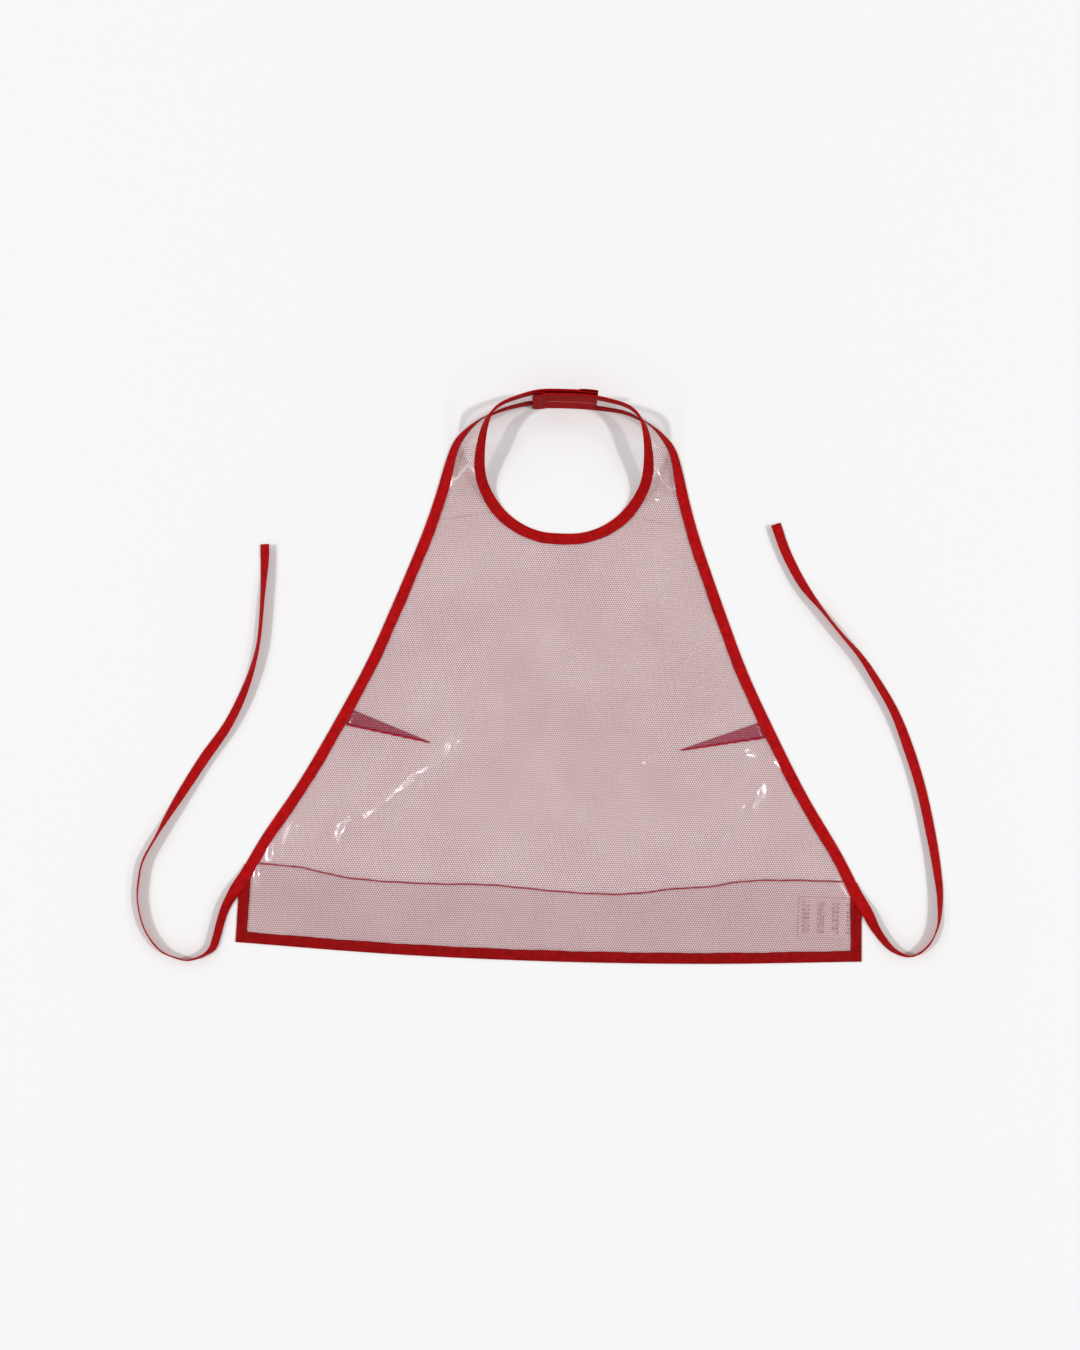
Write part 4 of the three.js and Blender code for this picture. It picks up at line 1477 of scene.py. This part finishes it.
@dataclass
class NeckBand:
    """One half of the standing neck band, from its shoulder seam to its bound end."""

    side: Side
    pattern: Pattern
    palette: Palette
    parts: int = 14  # across the band
    tab_lap: float = 2.5  # how far the edge tapes run under the end's tape
    tab_extra: float = 0.3  # how much further out the end's tape lies, over the edge tapes
    end_steps: int = 30

    def __post_init__(self) -> None:
        """Names the band's body, and the way that its closure faces."""
        self.cut = self.pattern.cut
        self.body = f"{self.side.word}_neck_band"
        self.facing = -1 if self.side is Side.LEFT else 1

    def build(self) -> None:
        """Makes the band's sheet, its tapes and its half of the closure."""
        self.sheet()
        self.tapes()
        self.end()
        self.pad()

    def bent(self, obj: bpy.types.Object, *nodes: str) -> None:
        """Bakes a piece's place into its mesh, and lets it stand for its CAD nodes."""
        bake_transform(obj)
        if nodes:
            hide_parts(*nodes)

    def sheet(self) -> None:
        """The band's own sheet."""
        grid = self.pattern.strip(self.side, SEAM_STEP, None, self.parts)
        steps = grid.shape[0]
        grid[-1] -= unit(grid[-1] - grid[-2]) * self.cut.slot
        along = run_lengths(grid[:, self.parts // 2])
        uvs = np.array([(a, b) for a in along for b in np.linspace(0, self.cut.band, self.parts + 1)]) * MM
        faces = grid_faces(steps, self.parts + 1, self.side is Side.RIGHT)
        obj = make_object(f"band_panel_{self.side.word}", placed(grid.reshape(-1, 3), self.cut), faces, uvs)
        paint(obj, "net_vinyl", self.palette.band, self.palette.back)
        thicken(obj, self.cut.sheet * MM, clear_back=True)
        self.bent(obj, f"neck_band_sheet_{self.side.word}")

    def tape_frames(self, neck: bool) -> Frames:
        """One edge's frames from the seam to the bound end."""
        frames = self.pattern.rise_frames(self.side, neck, SEAM_STEP, None)
        runs = frames.runs()
        last = int(np.searchsorted(runs, runs[-1] - self.cut.tab[self.side] + self.tab_lap))
        return frames.cut(0, last)

    def tapes(self) -> None:
        """The top and lower tapes with their stitches."""
        word = self.side.word
        for neck, kind in ((True, "top"), (False, "lower")):
            frames = self.tape_frames(neck)
            tape = swept(f"band_{kind}_tape_{word}", frames, folded_tape(self.cut.leaf, self.cut), self.cut)
            paint(tape, "binding_tape", self.palette.neck_tape if neck else self.palette.side_tape)
            self.bent(tape, f"neck_band_{kind}_binding_{word}")
            row = edge_stitches(f"band_{kind}_tape_{word}", frames, self.cut)
            paint(row, "red_thread", self.palette.thread)
            self.bent(row)

    def end(self) -> None:
        """The tape folded over the band's end."""
        outer_edge, neck_edge = self.pattern.bands[self.side]
        low, high = outer_edge[-1], neck_edge[-1]
        across = unit(outer_edge[-6] - low)
        through = unit(np.cross(across, high - low))
        count = self.end_steps
        at = low + (high - low) * np.linspace(0, 1, count)[:, None]
        frames = Frames(at, np.tile(across, (count, 1)), np.tile(through, (count, 1)))
        tab = self.cut.tab[self.side]
        word = self.side.word
        tape = swept(f"band_end_tape_{word}", frames, folded_tape(tab, self.cut, self.tab_extra), self.cut)
        # painted light: the outer (left) end takes the lighter side tape to make up for the shade it lies in
        finish = self.palette.side_tape if self.side is Side.LEFT else self.palette.neck_tape
        paint(tape, "binding_tape", finish)
        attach(tape, self.body)
        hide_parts(f"neck_band_end_binding_{word}")
        out = self.cut.bound / 2 + self.tab_extra - STITCH_SINK
        row = stitch_row(f"band_end_tape_{word}_stitches", frames, tab - STITCH_INSET, out, self.cut)
        paint(row, "red_thread", self.palette.thread)
        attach(row, self.body)

    def pad(self) -> None:
        """The hook or loop pad on the face that meets the other band."""
        cut = self.cut
        outer_edge, neck_edge = self.pattern.bands[self.side]
        frames = edge_frames(outer_edge, neck_edge, 1)
        runs = frames.runs()
        last = int(np.searchsorted(runs, runs[-1] - cut.tab[self.side] - 1))
        first = int(np.searchsorted(runs, runs[last] - cut.patch_length))
        frames = frames.cut(first, last + 1)
        towards = 1 if np.sign(frames.through[0, 1]) == self.facing else -1
        near = cut.sheet / 2 + cut.clear
        far = near + cut.patch_thick
        low = (cut.band - cut.patch_height) / 2
        levels = np.linspace(low, low + cut.patch_height, 14)
        rng = random.Random(SEED + self.side.value)
        bumps = [rng.uniform(-0.12, 0.0) for _ in levels]

        def shape(run: float) -> list[tuple[float, float]]:
            nap = [bump - 0.1 * abs(math.sin(run * 1.7 + a)) for a, bump in zip(levels, bumps)]
            face = [(a, towards * (far + high)) for a, high in zip(levels, nap)]
            back = [(a, towards * near) for a in levels]
            return [*face, *reversed(back)]

        if self.side is Side.RIGHT:
            self.facing_tape(outer_edge, neck_edge, -towards)
        kind = "hook" if self.side is Side.LEFT else "loop"
        obj = swept(f"closure_{kind}_pad", frames, shape, cut)
        paint(obj, "closure_patch", self.palette.pad)
        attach(obj, self.body)
        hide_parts(f"{kind}_patch")

    def facing_tape(self, outer_edge: Array, neck_edge: Array, towards: int) -> None:
        """The tape that backs the closure inside the inner band, with one row of stitches along it.

        Args:
            outer_edge: The band's lower edge.
            neck_edge: The band's top edge.
            towards: 1 or -1, for the face that it lies on.
        """
        cut = self.cut
        frames = edge_frames(outer_edge, neck_edge, 1)
        runs = frames.runs()
        last = int(np.searchsorted(runs, runs[-1] - cut.tab[self.side] + 1.5))
        first = int(np.searchsorted(runs, runs[-1] - cut.reach[Side.LEFT] - cut.reach[Side.RIGHT]))
        frames = frames.cut(first, last)
        near, far = cut.sheet / 2 + 0.05, cut.sheet / 2 + 0.5
        levels = np.linspace(cut.leaf - 2, cut.band - cut.leaf + 2, 16)

        def shape(run: float) -> list[tuple[float, float]]:
            face = [(a, towards * (far + 0.12 * math.sin(a * 0.7 + run / 6))) for a in levels]
            return [*face, *((a, towards * near) for a in reversed(levels))]

        tape = swept("closure_facing_tape", frames, shape, cut)
        paint(tape, "binding_tape", self.palette.side_tape)
        out = towards * (far + 0.15)
        row = stitch_row("closure_facing_stitches", frames, cut.band / 2, out, cut, below=False)
        paint(row, "red_thread", self.palette.pale)
        for piece in (tape, row):
            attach(piece, self.body)


Route = tuple[tuple[float, float, float], ...]

# Where each tie lies, from its root: x, y and how far the tape is tilted on edge, in degrees.
TIE_ROUTES: dict[Side, Route] = {
    Side.LEFT: (
        (-300.5, -187.5, 2), (-306.4, -198.2, 6), (-312.3, -207.6, 16), (-317.8, -217.5, 36),
        (-323.6, -229.6, 50), (-327.8, -243.5, 56), (-331.3, -258.6, 58), (-335, -269.7, 62),
        (-341.8, -275.9, 76), (-350.7, -280.2, 79), (-360.6, -282.5, 79), (-372.7, -279.9, 79),
        (-385.9, -274.3, 77), (-397.2, -262.7, 76), (-404.6, -249.9, 76), (-409.1, -236, 76),
        (-411.5, -221.1, 77), (-411, -207.1, 75), (-407.6, -186, 77), (-394.5, -159.5, 74),
        (-385, -141.2, 58), (-368, -111.7, 36), (-348.9, -80.1, 28), (-327.9, -48.4, 36), (-314.8, -21, 44),
        (-304.7, 8.4, 58), (-298.6, 37.6, 68), (-296.1, 83.7, 62), (-295.2, 118.7, 42), (-295.7, 134.7, 42),
    ),
    Side.RIGHT: (
        (300.5, -187.5, 2), (306.4, -198.2, 6), (312.3, -207.6, 14), (317.8, -216.5, 32),
        (326.4, -231.6, 52), (343.7, -250.4, 68), (361.9, -255.8, 79), (377.6, -245.3, 79), (387, -226, 70),
        (388.6, -198.9, 52), (384.6, -168, 38), (375.8, -125.3, 29), (365.8, -86.6, 28), (352, -47, 26),
        (337.6, -13.4, 38), (319.6, 16, 45), (302.4, 40.5, 58), (281.2, 63.8, 70), (260.6, 88.1, 66),
        (241.8, 111.5, 40), (224.6, 142.1, 32), (213.2, 170.7, 32),
    ),
}


@dataclass
class Tie:
    """A loose tie that goes on from a side binding, standing more or less on edge."""

    side: Side
    cut: Cut
    palette: Palette
    wide: float = 12
    half: float = 0.6  # half its thickness
    end: float = 14  # the folded end, and how much thicker each half of it is
    end_extra: float = 0.38
    row: float = 4.4  # the stitches' distance from the middle
    root: float = 46  # the root's length; the rest goes with the tie's body
    lifts: tuple[float, ...] = (0, 0.9, 1.9, 1.6, 0.6)  # how far the root rises over the hem's tape

    def frames(self, steps: int = 300) -> Frames:
        """Where the tie's tape goes."""
        route = TIE_ROUTES[self.side]
        turns = [math.radians(tilt) for _, _, tilt in route]
        lifts = [*self.lifts, *[0.0] * (len(route) - len(self.lifts))]
        keys = [(x, y, self.wide / 2 * math.sin(turn) + math.cos(turn) + lift)
                for (x, y, _), turn, lift in zip(route, turns, lifts)]
        at = smooth(keys, steps)
        tilt = smooth([(t, k, 0) for k, t in enumerate(turns)], steps)[:, :1]
        way = np.gradient(at, axis=0)
        way[:, 2] = 0
        way = unit(way)
        level = self.side.value * np.column_stack([-way[:, 1], way[:, 0], np.zeros(len(way))])
        across = level * np.cos(tilt) + np.array([0, 0, 1.0]) * np.sin(tilt)
        return Frames(at, across, unit(np.cross(way, across)))

    def build(self) -> None:
        """Makes the root and the loose run with its folded end."""
        frames = self.frames()
        runs = frames.runs()
        total = float(runs[-1])
        split = int(np.searchsorted(runs, self.root))
        word, s = self.side.word, self.side.value
        root, loose = frames.cut(0, split + 1), frames.cut(split)
        for piece in self.tape_and_row("tie_root", root, 0.0, total):
            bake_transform(piece)
        tape, rows = self.tape_and_row("tie", loose, float(runs[split]), total)
        ends = self.end_stitches(frames, total)
        paint(ends, "red_thread", self.palette.thread)
        for piece in (tape, rows, ends):
            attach(piece, f"{word}_tie")
        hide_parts(f"tie_{word}", f"tie_end_{word}")
        path = placed(loose.at, self.cut)

    def tape_and_row(self, name: str, frames: Frames, done: float, total: float) -> list[bpy.types.Object]:
        """One length of the tape with its row of stitches.

        Args:
            name: The first part of the pieces' names.
            frames: Where this length goes.
            done: How much of the tie comes before it.
            total: The whole tie's length.

        Returns:
            The tape and the stitches.
        """
        wide = self.wide / 2

        def shape(run: float) -> list[tuple[float, float]]:
            run += done
            extra = self.end_extra * min(max((run - (total - self.end)) / 0.8, 0.0), 1.0)
            swell = 0.1 * math.sin(run / 11.3) + 0.06 * math.sin(run / 4.7)
            half = self.half + extra
            top = [
                (-wide, 0.3 * half),
                (-wide + 0.25, 0.8 * half),
                (-wide + 1.0, half + 0.06 + 0.4 * swell),
                (-1.5, half + 0.12 + swell),
                (1.8, half + 0.08 + 0.6 * swell),
                (self.row - 0.5, half),
                (self.row, half - 0.16),
                (self.row + 0.5, half),
                (wide - 0.2, 0.85 * half),
                (wide, 0.5 * half),
            ]
            return [*top, *((a, -b) for a, b in reversed(top))]

        tape = swept(f"{name}_tape_{self.side.word}", frames, shape, self.cut)
        paint(tape, "binding_tape", self.palette.side_tape)
        row = stitch_row(f"{name}_stitches_{self.side.word}", frames, self.row, self.half - 0.02, self.cut)
        paint(row, "red_thread", self.palette.thread)
        return [tape, row]

    def end_stitches(self, frames: Frames, total: float) -> bpy.types.Object:
        """Two rows across the folded end, on both faces."""
        steps = np.linspace(-5, 3.6, 8)
        rows = [frames.sampled(total - back) for back in (3.5, 11.5)]
        at = np.array([place + across * k for place, across, _ in rows for k in steps])
        side = np.array([np.cross(through, across) for _, across, through in rows for _ in steps])
        out = np.array([through for _, _, through in rows for _ in steps])
        return stitch_row(f"tie_end_stitches_{self.side.word}", Frames(at, side, out), 0, 0.95, self.cut)


# ---- Stage ----


@dataclass
class Studio:
    """The pale floor, the soft side lights and the camera."""

    floor_half: float = 2.6
    floor_level: float = -0.0002
    floor_shade: tuple[float, ...] = (0.815, 0.815, 0.817, 1)
    lens: float = 48
    eye: tuple[float, ...] = (-0.0172, 0.0029, 1.8)
    eye_turn: float = 1.8
    surround_light: float = 0.33
    lamp: tuple[float, ...] = (2.9, 0.2, 2.75)
    strip: tuple[float, ...] = (0.16, 8)

    def build(self) -> None:
        """Makes them all."""
        self.camera()
        self.floor()
        self.surround()
        for side in Side:
            self.lights(side)

    def camera(self) -> None:
        """The camera, straight above the cape."""
        data = bpy.data.cameras.new("camera")
        data.lens = self.lens
        data.sensor_width = 36
        data.sensor_fit = "AUTO"
        obj = bpy.data.objects.new("camera", data)
        obj.location = self.eye
        obj.rotation_euler = (0, 0, math.radians(self.eye_turn))
        bpy.context.scene.collection.objects.link(obj)
        bpy.context.scene.camera = obj

    def floor(self) -> None:
        """A plain pale floor just under the cape."""
        h = self.floor_half
        corners = np.array([(x, y, self.floor_level) for x, y in ((-h, -h), (h, -h), (h, h), (-h, h))])
        obj = make_object("floor", corners, [(0, 1, 2, 3)])
        w = Wiring("floor_pale")
        body = w.add("ShaderNodeBsdfDiffuse")
        body.inputs["Color"].default_value = self.floor_shade
        obj.data.materials.append(w.finished(body.outputs[0]))

    def surround(self) -> None:
        """A bright soft surround, shown with plain colours."""
        scene = bpy.context.scene
        scene.view_settings.view_transform = "Standard"
        world = bpy.data.worlds.new("surround")
        world.use_nodes = True
        ground = world.node_tree.nodes["Background"]
        ground.inputs[0].default_value = (1, 1, 1, 1)
        ground.inputs[1].default_value = self.surround_light
        scene.world = world

    def lights(self, side: Side) -> None:
        """One side's long strip, its key sun and the low sun that glints on the folds."""
        strip = bpy.data.lights.new(f"strip_{side.word}", "AREA")
        strip.shape = "RECTANGLE"
        strip.size, strip.size_y = self.strip
        strip.energy = 34
        key = bpy.data.lights.new(f"key_{side.word}", "SUN")
        key.angle = math.radians(4)
        key.energy = 1.1
        glint = bpy.data.lights.new(f"glint_{side.word}", "SUN")
        glint.angle = math.radians(6)
        glint.energy = 0.13
        out, ahead, up = self.lamp
        for data, turn, swing in ((strip, 46.5, 0), (key, 36, 0), (glint, 41, side.value * 45)):
            obj = bpy.data.objects.new(data.name, data)
            obj.location = (side.value * out, ahead, up)
            obj.rotation_euler = (0, math.radians(side.value * turn), math.radians(swing))
            bpy.context.scene.collection.objects.link(obj)


def main() -> None:
    """Builds the whole scene from the frame."""
    logging.basicConfig(level=logging.INFO, format="%(name)s: %(message)s")
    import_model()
    cut = Cut()
    pattern = Pattern(cut)
    palette = Palette()
    Studio().build()
    for side in Side:
        Tie(side, cut, palette).build()
    BodyPieces(pattern, Lie(cut, FOLDS), palette).build()
    for side in Side:
        NeckBand(side, pattern, palette).build()


if __name__ == "__main__":
    main()
